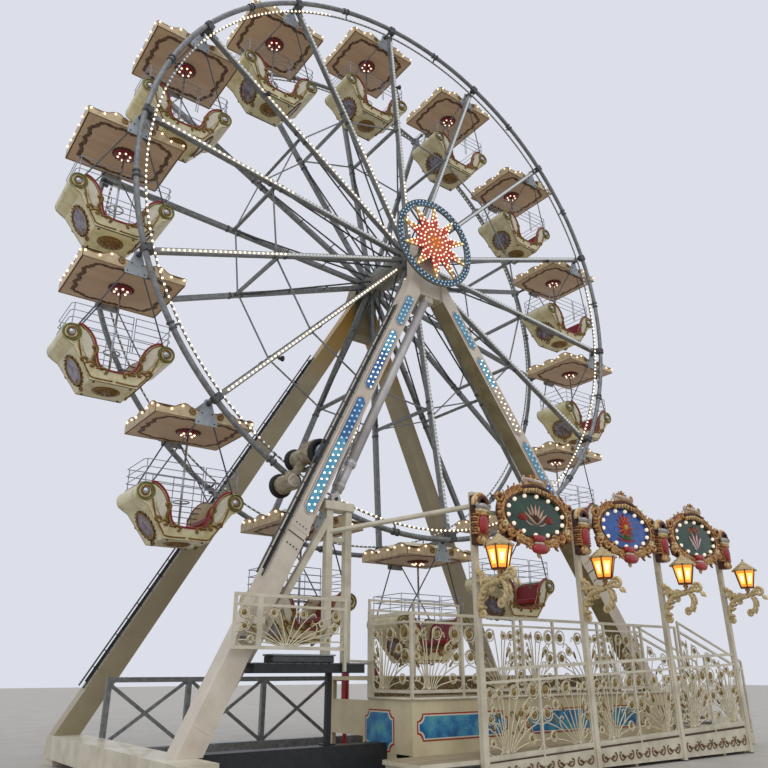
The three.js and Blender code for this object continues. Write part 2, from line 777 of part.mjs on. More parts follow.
function leftFenceSolid() {
  const { left, right, y, low, high, foot } = leftFence;
  const place = (a, b, bottom, top) => block([a, y, bottom], [b, y + 40, top]);
  const link = bar([right - 25, y + 20, 1740], [deckLeft, stepFront - 45, 1740], 40, 40);
  const postFace = block([deckLeft - 40 - seat, -3600, 0], [0, -1000, 3000]);
  return join([
    place(left, right, high - 50, high),
    place(left, right, high - 190, high - 150),
    place(left, right, low, low + 50),
    place(left, left + 50, low, high),
    place(right - 50, right, foot, high),
    place(-4675, -4585, low, high),
    block([-4720, y, 2250], [-4540, -2800, 2350]),
    link.subtract(postFace),
  ]).subtract(legSolid(frontLeg, -1, seat));
}

addNode('left_fence', leftFenceSolid(), creamPaint);

// Facade in front: four posts with totems and lanterns, three fence panels and three shields.
const postHalf = 50;
const lanternY = fenceLine - 570;
const lanternHalf = 180;
const roofHeight = 260;
const bracketDrop = 330;
const bracketFoot = 420;
const bracketEnd = lanternY - 400;
const fenceTop = 1620;
const fenceRail = 306;
const fenceFoot = 50;

function facadePostSolid({ x, top, totem, hood, lantern }) {
  const face = fenceLine - postHalf;
  const arm = lantern - bracketDrop;
  const onStem = (radius, low, high, end) => rod([x, lanternY, low], [x, lanternY, high], radius, 6, end);
  return join([
    block([x - postHalf, face, 0], [x + postHalf, fenceLine + postHalf, top]),
    block([x - 150, face - 140, totem], [x + 150, face + 10, hood - 60]),
    block([x - 80, face - 110, hood - 70], [x + 80, face + 10, hood]),
    onStem(130, lantern - lanternHalf, lantern + lanternHalf, 215),
    onStem(250, lantern + lanternHalf - 5, lantern + lanternHalf + roofHeight, 30),
    onStem(35, arm, lantern - lanternHalf + 10),
    block([x - 20, bracketEnd, arm - 40], [x + 20, face + 10, arm + 40]),
    bar([x, face + 5, arm - bracketFoot], [x, lanternY + 100, arm], 60, 40, new THREE.Vector3(1, 0, 0)),
  ]);
}

// Gives a level panel the slope of the fence, while its lower edge stays level.
function sloped(solid) {
  const { clamp, lerp } = THREE.MathUtils;
  return solid.warp((point) => {
    const below = clamp((point[2] - fenceFoot) / (fenceRail - fenceFoot), 0, 1);
    const above = clamp((point[2] - fenceRail) / (fenceTop - fenceRail), 0, 1);
    point[2] += (point[0] - facadePosts[0].x) * below * lerp(fenceRise.rail, fenceRise.top, above);
  });
}

function fencePanelSolid(left, right) {
  const y = fenceLine;
  const place = (a, b, low, high, half = 20) => block([a, y - half, low], [b, y + half, high]);
  const first = left + postHalf + seat;
  const last = right - postHalf - seat;
  const middle = (first + last) / 2;
  const uprights = [first, middle - 20, last - 40].map((x) => place(x, x + 40, fenceFoot, fenceTop));
  return sloped(join([
    place(first, last, fenceTop - 50, fenceTop),
    place(first, last, fenceTop - 235, fenceTop - 195),
    place(first, last, fenceRail, fenceRail + 60),
    place(first, last, fenceFoot, fenceRail + 10, 15),
    ...uprights,
  ]));
}

const shieldHalfWidth = 930;
const shieldHalfHeight = 560;
const shieldBack = -4490;
const shieldFront = -4620;

function shieldSolid(left, right, z) {
  const middle = (left + right) / 2;
  const outline = new THREE.Shape();
  outline.absellipse(middle, z, shieldHalfWidth, shieldHalfHeight, 0, Math.PI * 2, false, 0);
  const first = left + postHalf + seat;
  const last = right - postHalf - seat;
  const standOff = (x) => block([x - 30, shieldBack - 10, z - 35], [x + 30, fenceLine, z + 15]);
  return join([
    plate(outline, shieldFront, shieldBack, [], 24),
    block([middle - 330, shieldFront + 10, z + 400], [middle + 330, shieldBack, z + 790]),
    block([middle - 150, shieldFront + 20, z - 700], [middle + 150, shieldBack, z - 400]),
    block([first, fenceLine - 30, z - 40], [last, fenceLine + 30, z + 20]),
    standOff(middle - 500),
    standOff(middle + 500),
  ]);
}

facadePosts.forEach((post, i) => {
  addNode(`facade_post_${i + 1}`, facadePostSolid(post), creamPaint);
  if (i < shieldHeights.length) {
    const next = facadePosts[i + 1];
    addNode(`fence_panel_${i + 1}`, fencePanelSolid(post.x, next.x), creamPaint);
    addNode(`shield_${i + 1}`, shieldSolid(post.x, next.x, shieldHeights[i]), goldPaint);
  }
});

// Brace from the strut posts to the first facade post.
const braceRadius = 45;

function braceSolid() {
  const postLine = facadePosts[0].x;
  const tube = rod([strutPostX[0], strutPostY, 3860], [postLine, fenceLine, 4210], braceRadius, 8);
  const around = (x, y, half) => {
    const reach = half + seat;
    return block([x - reach, y - reach, 0], [x + reach, y + reach, strutCapTop]);
  };
  const strutPost = around(strutPostX[0], strutPostY, strutPostHalf);
  return tube.subtract(strutPost).subtract(around(postLine, fenceLine, postHalf));
}

addNode('facade_brace', braceSolid(), creamPaint);

const middle = new THREE.Box3().setFromObject(group).getCenter(new THREE.Vector3());
group.position.set(-middle.x, -middle.y, 0);

export default group;
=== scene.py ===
import json
from math import cos, degrees, pi, radians, sin

import bmesh
import bpy
from mathutils import Matrix, Vector


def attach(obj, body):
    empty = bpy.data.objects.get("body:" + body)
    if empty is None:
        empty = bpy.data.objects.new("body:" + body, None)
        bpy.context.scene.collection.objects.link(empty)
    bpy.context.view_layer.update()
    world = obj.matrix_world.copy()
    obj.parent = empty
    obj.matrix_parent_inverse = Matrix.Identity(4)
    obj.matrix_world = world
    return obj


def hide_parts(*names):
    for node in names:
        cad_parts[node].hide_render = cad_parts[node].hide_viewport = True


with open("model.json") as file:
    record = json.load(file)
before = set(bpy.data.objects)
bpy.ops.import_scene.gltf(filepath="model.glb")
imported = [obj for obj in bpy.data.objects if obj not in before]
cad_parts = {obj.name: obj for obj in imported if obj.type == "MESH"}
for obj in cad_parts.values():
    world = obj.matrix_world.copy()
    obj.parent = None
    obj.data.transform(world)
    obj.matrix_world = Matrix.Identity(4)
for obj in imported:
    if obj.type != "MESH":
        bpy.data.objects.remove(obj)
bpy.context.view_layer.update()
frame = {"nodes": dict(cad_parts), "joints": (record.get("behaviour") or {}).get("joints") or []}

spin = next(joint for joint in frame["joints"] if joint["name"] == "wheel_spin")
axle = Vector(spin["pos_m"])  # middle of the wheel on its shaft
ground = Vector((axle.x, axle.y, 0))  # pieces are drawn from this point under the axle
print("frame loaded,", len(frame["nodes"]), "nodes, axle at height", round(axle.z, 2))


# Shapes: lists of points and faces, each face with the finish that it is painted in

class Shape:
    def __init__(self):
        self.points = []
        self.faces = []
        self.finishes = []
        self.rounded = []

    def add(self, points, faces, finish, rounded=False):
        first = len(self.points)
        self.points.extend(Vector(point) for point in points)
        for face in faces:
            self.faces.append([first + index for index in face])
            self.finishes.append(finish)
            self.rounded.append(rounded)

    def addMesh(self, mesh, finish, rounded=True):
        points = [vertex.co for vertex in mesh.vertices]
        faces = [list(face.vertices) for face in mesh.polygons]
        self.add(points, faces, finish, rounded)


def meshOf(name, shape, shift=Vector()):
    mesh = bpy.data.meshes.new(name)
    mesh.from_pydata([point + shift for point in shape.points], [], shape.faces)
    used = list(dict.fromkeys(shape.finishes))
    for finish in used:
        mesh.materials.append(finishes[finish])
    order = {finish: index for index, finish in enumerate(used)}
    mesh.polygons.foreach_set("material_index", [order[finish] for finish in shape.finishes])
    mesh.polygons.foreach_set("use_smooth", shape.rounded)
    work = bmesh.new()
    work.from_mesh(mesh)
    bmesh.ops.recalc_face_normals(work, faces=work.faces)
    work.to_mesh(mesh)
    work.free()
    mesh.update()
    return mesh


def place(name, mesh, body, slot, replaced=()):
    piece = bpy.data.objects.new(name, mesh)
    bpy.context.scene.collection.objects.link(piece)
    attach(piece, body)
    if replaced:
        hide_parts(*replaced)
    return piece


def build(name, shape, body, slot, replaced=()):
    place(name, meshOf(name, shape, ground), body, slot, replaced)


def addSlab(shape, low, high, finish, chamfer=0.0, turn=None):
    corners = [(x, y, z) for x in (0, 1) for y in (0, 1) for z in (0, 1)]
    points = []
    index = {}
    for corner in corners:
        for axis in range(3):
            point = [high[i] if corner[i] else low[i] for i in range(3)]
            for i in range(3):
                if i != axis:
                    point[i] += -chamfer if corner[i] else chamfer
            if not chamfer and axis:
                index[corner, axis] = index[corner, 0]
                continue
            index[corner, axis] = len(points)
            points.append(turn @ Vector(point) if turn else point)
    faces = []
    for axis in range(3):
        one, two = [i for i in range(3) if i != axis]
        for side in (0, 1):
            loop = []
            for a, b in ((0, 0), (1, 0), (1, 1), (0, 1)):
                corner = [0, 0, 0]
                corner[axis], corner[one], corner[two] = side, a, b
                loop.append(index[tuple(corner), axis])
            faces.append(loop)
        if not chamfer:
            continue
        for a, b in ((0, 0), (1, 0), (1, 1), (0, 1)):
            near, far = [0, 0, 0], [0, 0, 0]
            near[one], near[two] = a, b
            far[one], far[two] = a, b
            far[axis] = 1
            near, far = tuple(near), tuple(far)
            faces.append([index[near, one], index[far, one], index[far, two], index[near, two]])
    if chamfer:
        faces.extend([index[corner, axis] for axis in range(3)] for corner in corners)
    shape.add(points, faces, finish)


def lineTurn(start, end, up=(0, 0, 1)):
    start, end = Vector(start), Vector(end)
    along = (end - start).normalized()
    side = along.cross(Vector(up))
    if side.length < 1e-4:
        side = along.cross(Vector((0, 1, 0)))
    side.normalize()
    top = side.cross(along)
    turn = Matrix((side, top, along)).transposed().to_4x4()
    turn.translation = start
    return turn, (end - start).length


def addBar(shape, start, end, width, height, finish, chamfer=0.0, up=(0, 0, 1)):
    turn, length = lineTurn(start, end, up)
    low = (-width / 2, -height / 2, 0)
    addSlab(shape, low, (width / 2, height / 2, length), finish, chamfer, turn)


def addRod(shape, path, radius, finish, sides=6, closed=False, flat=1.0, across=None):
    path = [Vector(point) for point in path]
    count = len(path)
    radii = radius if isinstance(radius, (list, tuple)) else [radius] * count
    points = []
    normal = Vector(across) if across else None
    for i, here in enumerate(path):
        before = path[i - 1] if closed or i else here
        after = path[(i + 1) % count] if closed or i < count - 1 else here
        along = (after - before).normalized()
        normal = normal if normal else along.orthogonal()
        normal = (normal - along * normal.dot(along)).normalized()
        side = along.cross(normal)
        for k in range(sides):
            angle = 2 * pi * k / sides
            round_ = side * cos(angle) + normal * (flat * sin(angle))
            points.append(here + round_ * radii[i])
    faces = []
    for i in range(count if closed else count - 1):
        one, two = i * sides, (i + 1) % count * sides
        for k in range(sides):
            n = (k + 1) % sides
            faces.append([one + k, one + n, two + n, two + k])
    if not closed:
        faces.append(list(range(sides))[::-1])
        faces.append([(count - 1) * sides + k for k in range(sides)])
    shape.add(points, faces, finish, True)


def around(count, start=0.0):
    # even steps of a full turn, in radians
    return [2 * pi * (k + start) / count for k in range(count)]


def polar(radius, turn):
    return radius * cos(turn), radius * sin(turn)


def addTurned(shape, profile, centre, axis, finish, sides=16, rounded=True):
    turn, _ = lineTurn(centre, Vector(centre) + Vector(axis))
    points = []
    rings = []
    for radius, along in profile:
        spots = [turn @ Vector((*polar(radius, angle), along)) for angle in around(sides)]
        if radius <= 0:
            spots = spots[:1]
        rings.append(list(range(len(points), len(points) + len(spots))))
        points.extend(spots)
    faces = []
    for one, two in zip(rings, rings[1:]):
        for k in range(sides):
            n = (k + 1) % sides
            loop = [one[k % len(one)], one[n % len(one)], two[n % len(two)], two[k % len(two)]]
            faces.append(list(dict.fromkeys(loop)))
    for ring in (rings[0], rings[-1]):
        if len(ring) > 1:
            faces.append(ring)
    shape.add(points, faces, finish, rounded)


def addBolt(shape, centre, out, radius, height):
    profile = [(0, 0), (radius, 0), (radius, height), (0, height + 0.002)]
    addTurned(shape, profile, centre, out, "blackPaint", 6, False)


def addPlate(shape, outline, near, far, finish, rim=None):
    # near and far each turn a point of the flat outline into a place
    count = len(outline)
    points = [near(*point) for point in outline] + [far(*point) for point in outline]
    shape.add(points, [list(range(count))[::-1], list(range(count, 2 * count))], finish)
    walls = [[i, (i + 1) % count, count + (i + 1) % count, count + i] for i in range(count)]
    shape.add(points, walls, rim or finish)


def addSheet(shape, at, outline, top, under, finish):
    # a thin plate on a surface, its two sides lifted off it by top and under
    addPlate(shape, outline, lambda u, v: at(u, v, top), lambda u, v: at(u, v, under), finish)


def upright(y):
    # a flat upright sheet at depth y
    return lambda u, v: (u, y, v)


# Flat paths in two directions, u and v

def arcPath(centre, radius, start, end, steps):
    turns = [radians(start + (end - start) * i / steps) for i in range(steps + 1)]
    return [(centre[0] + radius * cos(t), centre[1] + radius * sin(t)) for t in turns]


def onto(at, path, *lift):
    return [at(u, v, *lift) for u, v in path]


def scaled(sign, path):
    return [(sign * u, v) for u, v in path]


def spiralPath(centre, outer, inner, start, turns, steps):
    path = []
    for i in range(steps + 1):
        share = i / steps
        radius = outer + (inner - outer) * share
        u, v = polar(radius, radians(start + 360 * turns * share))
        path.append((centre[0] + u, centre[1] + v))
    return path


def smoothPath(points, steps=6, closed=False):
    path = []
    count = len(points)
    for i in range(count if closed else count - 1):
        four = []
        for j in (i - 1, i, i + 1, i + 2):
            four.append(points[j % count] if closed else points[min(max(j, 0), count - 1)])
        for k in range(steps):
            t = k / steps
            path.append(tuple(0.5 * (2 * b + (c - a) * t + (2 * a - 5 * b + 4 * c - d) * t * t
                + (3 * b - a - 3 * c + d) * t ** 3) for a, b, c, d in zip(*four)))
    if not closed:
        path.append(tuple(points[-1]))
    return path


def curlPath(start, heading, length, bends, steps=24):
    # a bar bent cold: it starts in a direction and turns by bends, in degrees a metre, from end to end
    u, v = start
    angle = heading
    path = [(u, v)]
    for i in range(steps):
        share = (i + 0.5) / steps * (len(bends) - 1)
        knot = min(int(share), len(bends) - 2)
        bend = bends[knot] + (bends[knot + 1] - bends[knot]) * (share - knot)
        angle += bend * length / steps
        u += cos(radians(angle)) * length / steps
        v += sin(radians(angle)) * length / steps
        path.append((u, v))
    return path


def tapered(count, thick, thin):
    return [thin + (thick - thin) * sin(pi * min(1, 0.15 + 0.85 * (1 - i / (count - 1)))) ** 0.6
        for i in range(count)]


# Geometry Nodes: bulbs, rods and boards along paths of edges

def addNode(tree, kind, settings=None, links=None):
    node = tree.nodes.new(kind)
    for key, value in (settings or {}).items():
        if isinstance(key, int) or key in node.inputs:
            node.inputs[key].default_value = value
        else:
            setattr(node, key, value)
    for key, source in (links or {}).items():
        tree.links.new(source, node.inputs[key])
    return node


def pathTree(name, inputs, makeForm):
    # a group that turns a mesh of edges to curves, lets makeForm put a form on them and paints the result
    tree = bpy.data.node_groups.new(name, "GeometryNodeTree")
    inputs = [("Geometry", "Geometry", None), *inputs, ("Finish", "Material", None)]
    for label, kind, value in inputs:
        socket = tree.interface.new_socket(label, in_out="INPUT", socket_type="NodeSocket" + kind)
        if value is not None:
            socket.default_value = value
    tree.interface.new_socket("Geometry", in_out="OUTPUT", socket_type="NodeSocketGeometry")
    given = addNode(tree, "NodeGroupInput").outputs
    line = addNode(tree, "GeometryNodeMeshToCurve", links={"Mesh": given["Geometry"]}).outputs[0]
    real = addNode(tree, "GeometryNodeRealizeInstances", links={"Geometry": makeForm(tree, given, line)})
    painted = addNode(tree, "GeometryNodeSetMaterial", links={"Geometry": real.outputs[0],
        "Material": given["Finish"]})
    addNode(tree, "NodeGroupOutput", links={"Geometry": painted.outputs[0]})
    return tree


def spaced(tree, given, line, form):
    points = addNode(tree, "GeometryNodeResampleCurve", {"mode": "LENGTH"},
        {"Curve": line, "Length": given["Spacing"]})
    return addNode(tree, "GeometryNodeInstanceOnPoints", links={"Points": points.outputs[0],
        "Instance": form.outputs[0]}).outputs[0]


def bulbForm(tree, given, line):
    bulb = addNode(tree, "GeometryNodeMeshUVSphere", {"Segments": 6, "Rings": 4},
        {"Radius": given["Radius"]})
    return spaced(tree, given, line, bulb)


def blockForm(tree, given, line):
    return spaced(tree, given, line, addNode(tree, "GeometryNodeMeshCube", links={"Size": given["Block"]}))


def rodForm(tree, given, line):
    section = addNode(tree, "GeometryNodeCurvePrimitiveCircle",
        links={"Resolution": given["Sides"], "Radius": given["Radius"]})
    return addNode(tree, "GeometryNodeCurveToMesh", {"Fill Caps": True},
        {"Curve": line, "Profile Curve": section.outputs[0]}).outputs[0]


trees = {}
trees["bulb"] = pathTree("bulbsAlongPath", [("Spacing", "Float", 0.12), ("Radius", "Float", 0.02)],
    bulbForm)
trees["block"] = pathTree("blocksAlongPath", [("Spacing", "Float", 0.1),
    ("Block", "Vector", (0.08, 0.5, 0.02))], blockForm)
trees["rod"] = pathTree("rodsAlongPath", [("Radius", "Float", 0.008), ("Sides", "Int", 5)], rodForm)


def grow(shape, kind, paths, finish, **values):
    # paths are lists of places; the tree's result is turned to plain faces of the shape
    points = []
    edges = []
    for path in paths:
        first = len(points)
        points.extend(path)
        edges.extend((first + i, first + i + 1) for i in range(len(path) - 1))
    mesh = bpy.data.meshes.new("paths")
    mesh.from_pydata(points, edges, [])
    holder = bpy.data.objects.new("paths", mesh)
    bpy.context.scene.collection.objects.link(holder)
    modifier = holder.modifiers.new("grow", "NODES")
    modifier.node_group = trees[kind]
    values["Finish"] = finishes[finish]
    for socket in trees[kind].interface.items_tree:
        if socket.in_out == "INPUT" and socket.name in values:
            modifier[socket.identifier] = values[socket.name]
    scene = bpy.context.evaluated_depsgraph_get()
    grown = bpy.data.meshes.new_from_object(holder.evaluated_get(scene), depsgraph=scene)
    shape.addMesh(grown, finish, kind != "block")
    bpy.data.objects.remove(holder)
    bpy.data.meshes.remove(mesh)
    bpy.data.meshes.remove(grown)


# Finishes

finishes = {}


def linear(colour):
    channels = [int(colour[i:i + 2], 16) / 255 for i in (1, 3, 5)]
    return [c / 12.92 if c <= 0.04045 else ((c + 0.055) / 1.055) ** 2.4 for c in channels] + [1.0]


def newMaterial(name):
    material = bpy.data.materials.new(name)
    material.use_nodes = True
    finishes[name] = material
    tree = material.node_tree
    where = addNode(tree, "ShaderNodeTexCoord").outputs["Object"]
    return tree, tree.nodes["Principled BSDF"], where


def mottle(tree, where, sizeMm, detail=4.0, stretch=(1, 1, 1)):
    # a cloudy pattern whose patches are about sizeMm across
    scale = [1000 / sizeMm / s for s in stretch]
    spread = addNode(tree, "ShaderNodeMapping", {"Scale": scale}, {"Vector": where})
    return addNode(tree, "ShaderNodeTexNoise", {"Scale": 1.0, "Detail": detail, "Roughness": 0.6},
        {"Vector": spread.outputs[0]}).outputs[0]


def blendColours(tree, share, stops):
    ramp = addNode(tree, "ShaderNodeValToRGB", links={"Fac": share})
    ramp.color_ramp.elements.remove(ramp.color_ramp.elements[1])
    for i, (position, colour) in enumerate(stops):
        element = ramp.color_ramp.elements[0] if i == 0 else ramp.color_ramp.elements.new(position)
        element.position = position
        element.color = linear(colour)
    return ramp.outputs["Color"]


def bumpFrom(tree, shader, height, distanceMm):
    bump = addNode(tree, "ShaderNodeBump", {"Strength": 0.6, "Distance": distanceMm / 1000},
        {"Height": height})
    tree.links.new(bump.outputs[0], shader.inputs["Normal"])


def roughFrom(tree, shader, share, low, high):
    spread = addNode(tree, "ShaderNodeMapRange", {"To Min": low, "To Max": high}, {"Value": share})
    tree.links.new(spread.outputs[0], shader.inputs["Roughness"])


usualPlaces = {2: (0.3, 0.7), 3: (0.3, 0.6, 0.85)}


def surface(name, colours, patchMm, roughness, metallic=0.0, bumpMm=0.0, grainMm=8, coat=0.0,
        stretch=(1, 1, 1), places=None):
    # colours run from the darkest patches to the palest, places says where each one stands between 0 and 1
    tree, shader, where = newMaterial(name)
    patches = mottle(tree, where, patchMm, 4.0, stretch)
    stops = list(zip(places or usualPlaces[len(colours)], colours))
    tree.links.new(blendColours(tree, patches, stops), shader.inputs["Base Color"])
    shader.inputs["Metallic"].default_value = metallic
    shader.inputs["Coat Weight"].default_value = coat
    roughFrom(tree, shader, patches, *roughness)
    if bumpMm:
        bumpFrom(tree, shader, mottle(tree, where, grainMm, 2.0), bumpMm)


def glow(name, colour, strength, edge=None):
    shader = newMaterial(name)[1]
    shader.inputs["Base Color"].default_value = linear(edge or colour)
    shader.inputs["Roughness"].default_value = 0.25
    shader.inputs["Emission Color"].default_value = linear(colour)
    shader.inputs["Emission Strength"].default_value = strength


# brushed gloss enamel on welded steel: warm cream, a little chalky and grey where rain runs
surface("creamEnamel", ("#b5ac94", "#cfc7b0", "#dad3bf"), 420, (0.34, 0.52), coat=0.15, bumpMm=0.25,
    grainMm=14, places=(0.3, 0.55, 0.8))
# the same enamel on flat sheet, yellower and shadowed, as on the platform's skirts
surface("skirtEnamel", ("#b8ab88", "#d0c4a0", "#d9cead"), 700, (0.4, 0.55), bumpMm=0.3, grainMm=30)
# hot dip galvanised tube: dull blue grey with cloudy spangle
surface("galvanisedSteel", ("#6b6d6d", "#868887", "#a2a3a0"), 90, (0.38, 0.6), metallic=0.55, bumpMm=0.2,
    grainMm=12, places=(0.3, 0.55, 0.8))
# darker weathered tube at joints and on the rear frames
surface("agedSteel", ("#46484a", "#5e6061", "#747574"), 120, (0.45, 0.65), metallic=0.45, bumpMm=0.3,
    grainMm=10)
# black painted bolts, clamps and motor cases
surface("blackPaint", ("#15171a", "#24272a"), 60, (0.35, 0.5), bumpMm=0.2)
# moulded glass fibre of the gondolas: cream gelcoat yellowed with age
surface("gondolaCream", ("#bcad7c", "#dbd0a4", "#e8e0c0"), 220, (0.3, 0.48), coat=0.2, bumpMm=0.4,
    grainMm=40, places=(0.25, 0.5, 0.8))
# paler panels laid inside the gold lines of the gondolas
surface("gondolaPale", ("#c6bda4", "#d9d2be"), 220, (0.35, 0.5), bumpMm=0.3, grainMm=40)
# varnished ply of the canopy ceilings: warm brown with long soft streaks
surface("ceilingPly", ("#c2a180", "#d2b392", "#dfc4a4"), 500, (0.45, 0.6), bumpMm=0.3, grainMm=18,
    stretch=(3, 0.6, 1), places=(0.25, 0.55, 0.85))
# leaf border stencilled on the ply in dark brown
surface("leafBrown", ("#3a2414", "#553820"), 60, (0.5, 0.65))
# bronze gold leaf paint on carved ornament: bright tops, brown in the hollows
surface("goldLeaf", ("#5e3218", "#94602e", "#c39657", "#ead2a0"), 42, (0.28, 0.5), metallic=0.3, bumpMm=1.2,
    grainMm=14, places=(0.26, 0.4, 0.56, 0.76))
# darker antique gold of trims and lines
surface("lineGold", ("#5a3c14", "#8c6626", "#b08a40"), 45, (0.3, 0.5), metallic=0.3, bumpMm=0.3, grainMm=12,
    places=(0.3, 0.55, 0.8))
# green shaded gold inside the volutes
surface("greenGold", ("#4b5018", "#6f7030", "#96924e"), 60, (0.3, 0.5), metallic=0.2, bumpMm=0.4,
    grainMm=14, places=(0.3, 0.55, 0.8))
# cream highlights on carved scrolls
surface("carvedCream", ("#b99f6c", "#d6c394", "#e8dab4"), 45, (0.35, 0.5), metallic=0.1, bumpMm=1.0,
    grainMm=12, places=(0.3, 0.55, 0.8))
# gloss red enamel of drops, ovals and the jacks
surface("redEnamel", ("#7c1216", "#a81c22", "#b92a2c"), 90, (0.22, 0.4), coat=0.3, bumpMm=0.3, grainMm=20)
# dark red enamel behind the ceiling bulbs
surface("winePaint", ("#6a0e1c", "#96182c"), 60, (0.3, 0.45), coat=0.2)
# thin red pinstripe round the painted panels
surface("redLine", ("#8a1c18", "#a83028"), 60, (0.35, 0.5))
# dark blue enamel of the star's ring
surface("ringBlue", ("#1a3850", "#2b4b62"), 80, (0.3, 0.45), coat=0.2)
# silver plated rosettes, wire and polished poles
surface("brightSteel", ("#a9adb2", "#c6cacf"), 60, (0.2, 0.36), metallic=0.8, bumpMm=0.1)
# satin aluminium and stainless of the strut
surface("satinSteel", ("#b3aeab", "#cbc6c3"), 200, (0.3, 0.45), metallic=0.15, bumpMm=0.15,
    stretch=(1, 1, 4))
# buttoned vinyl of the benches and their piping: deep red with a soft skin grain
surface("redVinyl", ("#7d1420", "#a3222f"), 120, (0.4, 0.55), bumpMm=0.5, grainMm=10)
# tyre rubber: near black, dusty on the tread
surface("tyreRubber", ("#171717", "#2b2a28"), 50, (0.7, 0.85), bumpMm=0.6, grainMm=8)
# ribbed timber slats of the walkway, worn and beige
surface("slatTimber", ("#8b7c60", "#a89a7c", "#b8ab8e"), 180, (0.6, 0.75), bumpMm=0.8, grainMm=12,
    stretch=(6, 1, 1))
# bottle green field of the ovals
surface("greenField", ("#0c2418", "#12402a", "#1c5638"), 160, (0.3, 0.45), coat=0.3)
# bright blue field of the middle oval
surface("blueField", ("#123f86", "#2563b4"), 160, (0.3, 0.45), coat=0.3)
# orange brown brush ornament on the fields
surface("orangeBrush", ("#a83a18", "#c9571f", "#dd8430"), 70, (0.35, 0.5))
# dusky pink brush ornament
surface("blushBrush", ("#b98d78", "#dcb9a2"), 70, (0.35, 0.5))
# faded scenic medallions on the gondola ends
surface("medallion", ("#3b2a24", "#6b5a62", "#8a8a98", "#7b3b2c"), 150, (0.3, 0.45), coat=0.3, bumpMm=0.2,
    places=(0.3, 0.45, 0.6, 0.75))
# milky glass bulbs, lit warm white
glow("bulbWarm", "#ffe2bd", 1.9)
# unlit bulbs with a faint glow, a painted sheen of the pale sky on their glass
glow("bulbOffSkySheen", "#d8d9d6", 0.35)
# lantern glass, amber at its edges
glow("lanternGlass", "#ee9a30", 0.95, "#d98f35")
# the same glass nearer to its lamp, yellow, then almost white
glow("lanternMiddle", "#ffcf6a", 1.1)
glow("lanternHeart", "#fff4c4", 1.5)
print("finishes mixed:", len(finishes))


# Camera at the photographer's place on the ground left of the wheel, looking up

view = {"place": (-9.901, -13.312, 1.553), "yaw": 36.5775, "pitch": 21.8492, "roll": 0.1709, "lens": 33.83}


def setCamera():
    yaw, pitch, roll = (radians(view[key]) for key in ("yaw", "pitch", "roll"))
    ahead = Vector((sin(yaw) * cos(pitch), cos(yaw) * cos(pitch), sin(pitch)))
    level = Vector((cos(yaw), -sin(yaw), 0))
    drop = ahead.cross(level)
    right = level * cos(roll) + drop * sin(roll)
    down = drop * cos(roll) - level * sin(roll)
    lens = bpy.data.cameras.new("photographer")
    lens.lens = view["lens"]
    lens.sensor_width = 36
    lens.clip_end = 400
    camera = bpy.data.objects.new("photographer", lens)
    turn = Matrix((right, -down, -ahead)).transposed().to_4x4()
    turn.translation = ground + Vector(view["place"])
    camera.matrix_world = turn
    bpy.context.scene.collection.objects.link(camera)
    bpy.context.scene.camera = camera


def setStage():
    floor = Shape()
    reach = 90
    addSlab(floor, (-reach, -reach, -0.03), (reach, reach, -0.004), "palePaving")
    mesh = meshOf("floor", floor, ground)
    paving = bpy.data.objects.new("floor", mesh)
    bpy.context.scene.collection.objects.link(paving)
    sky = bpy.data.worlds.new("overcast")
    sky.use_nodes = True
    tree = sky.node_tree
    back = tree.nodes["Background"]
    back.inputs["Color"].default_value = linear("#e1e4ee")
    back.inputs["Strength"].default_value = 0.95
    bpy.context.scene.world = sky
    soft = bpy.data.lights.new("softSky", "SUN")
    soft.energy = 0.85
    soft.angle = radians(60)
    high = bpy.data.objects.new("softSky", soft)
    high.rotation_euler = (radians(28), radians(-22), 0)
    bpy.context.scene.collection.objects.link(high)
    bpy.context.scene.view_settings.view_transform = "Standard"


# pale paving of the stage, dull
surface("palePaving", ("#a9a59c", "#b7b3aa"), 900, (0.8, 0.9))
setCamera()
setStage()
print("camera and stage set")


# Wheel: two rims with light rings, spokes with bulb strips, ties and hub

wheel = {"cabins": 14, "firstAngle": -32.05, "rim": 7.0, "tube": 0.058, "rimY": 1.415, "ring": 6.8,
    "ringTube": 0.022, "ringY": 1.349, "spokeIn": 0.3, "spokeOut": 6.953,
    "ringLit": ((-62, -24), (80, 198), (216, 283)), "ringDark": ((-24, 80), (198, 216), (283, 298)),
    "bulb": 0.024, "bulbGap": 0.125, "nearIn": -1.086, "farIn": 0.66, "spokeY": 1.285, "pivotY": -0.21,
    "pinReach": 0.84, "stay": (6.79, 6.96), "flange": 0.08, "flangeTurn": 0.45, "clamp": (6.86, 7.058),
    "clampSize": (0.16, 0.15), "boltTurn": 0.48}
step = 360 / wheel["cabins"]
angles = [wheel["firstAngle"] + step * i for i in range(wheel["cabins"])]


def onWheel(angle, radius, y):
    turn = radians(angle)
    return Vector((radius * sin(turn), y, axle.z + radius * cos(turn)))


def ringPath(radius, y, steps):
    return [onWheel(360 * i / steps, radius, y) for i in range(steps)]


def spokeY(side, radius):
    inner = wheel["nearIn"] if side < 0 else wheel["farIn"]
    share = (radius - wheel["spokeIn"]) / (wheel["spokeOut"] - wheel["spokeIn"])
    return inner + (side * wheel["spokeY"] - inner) * share


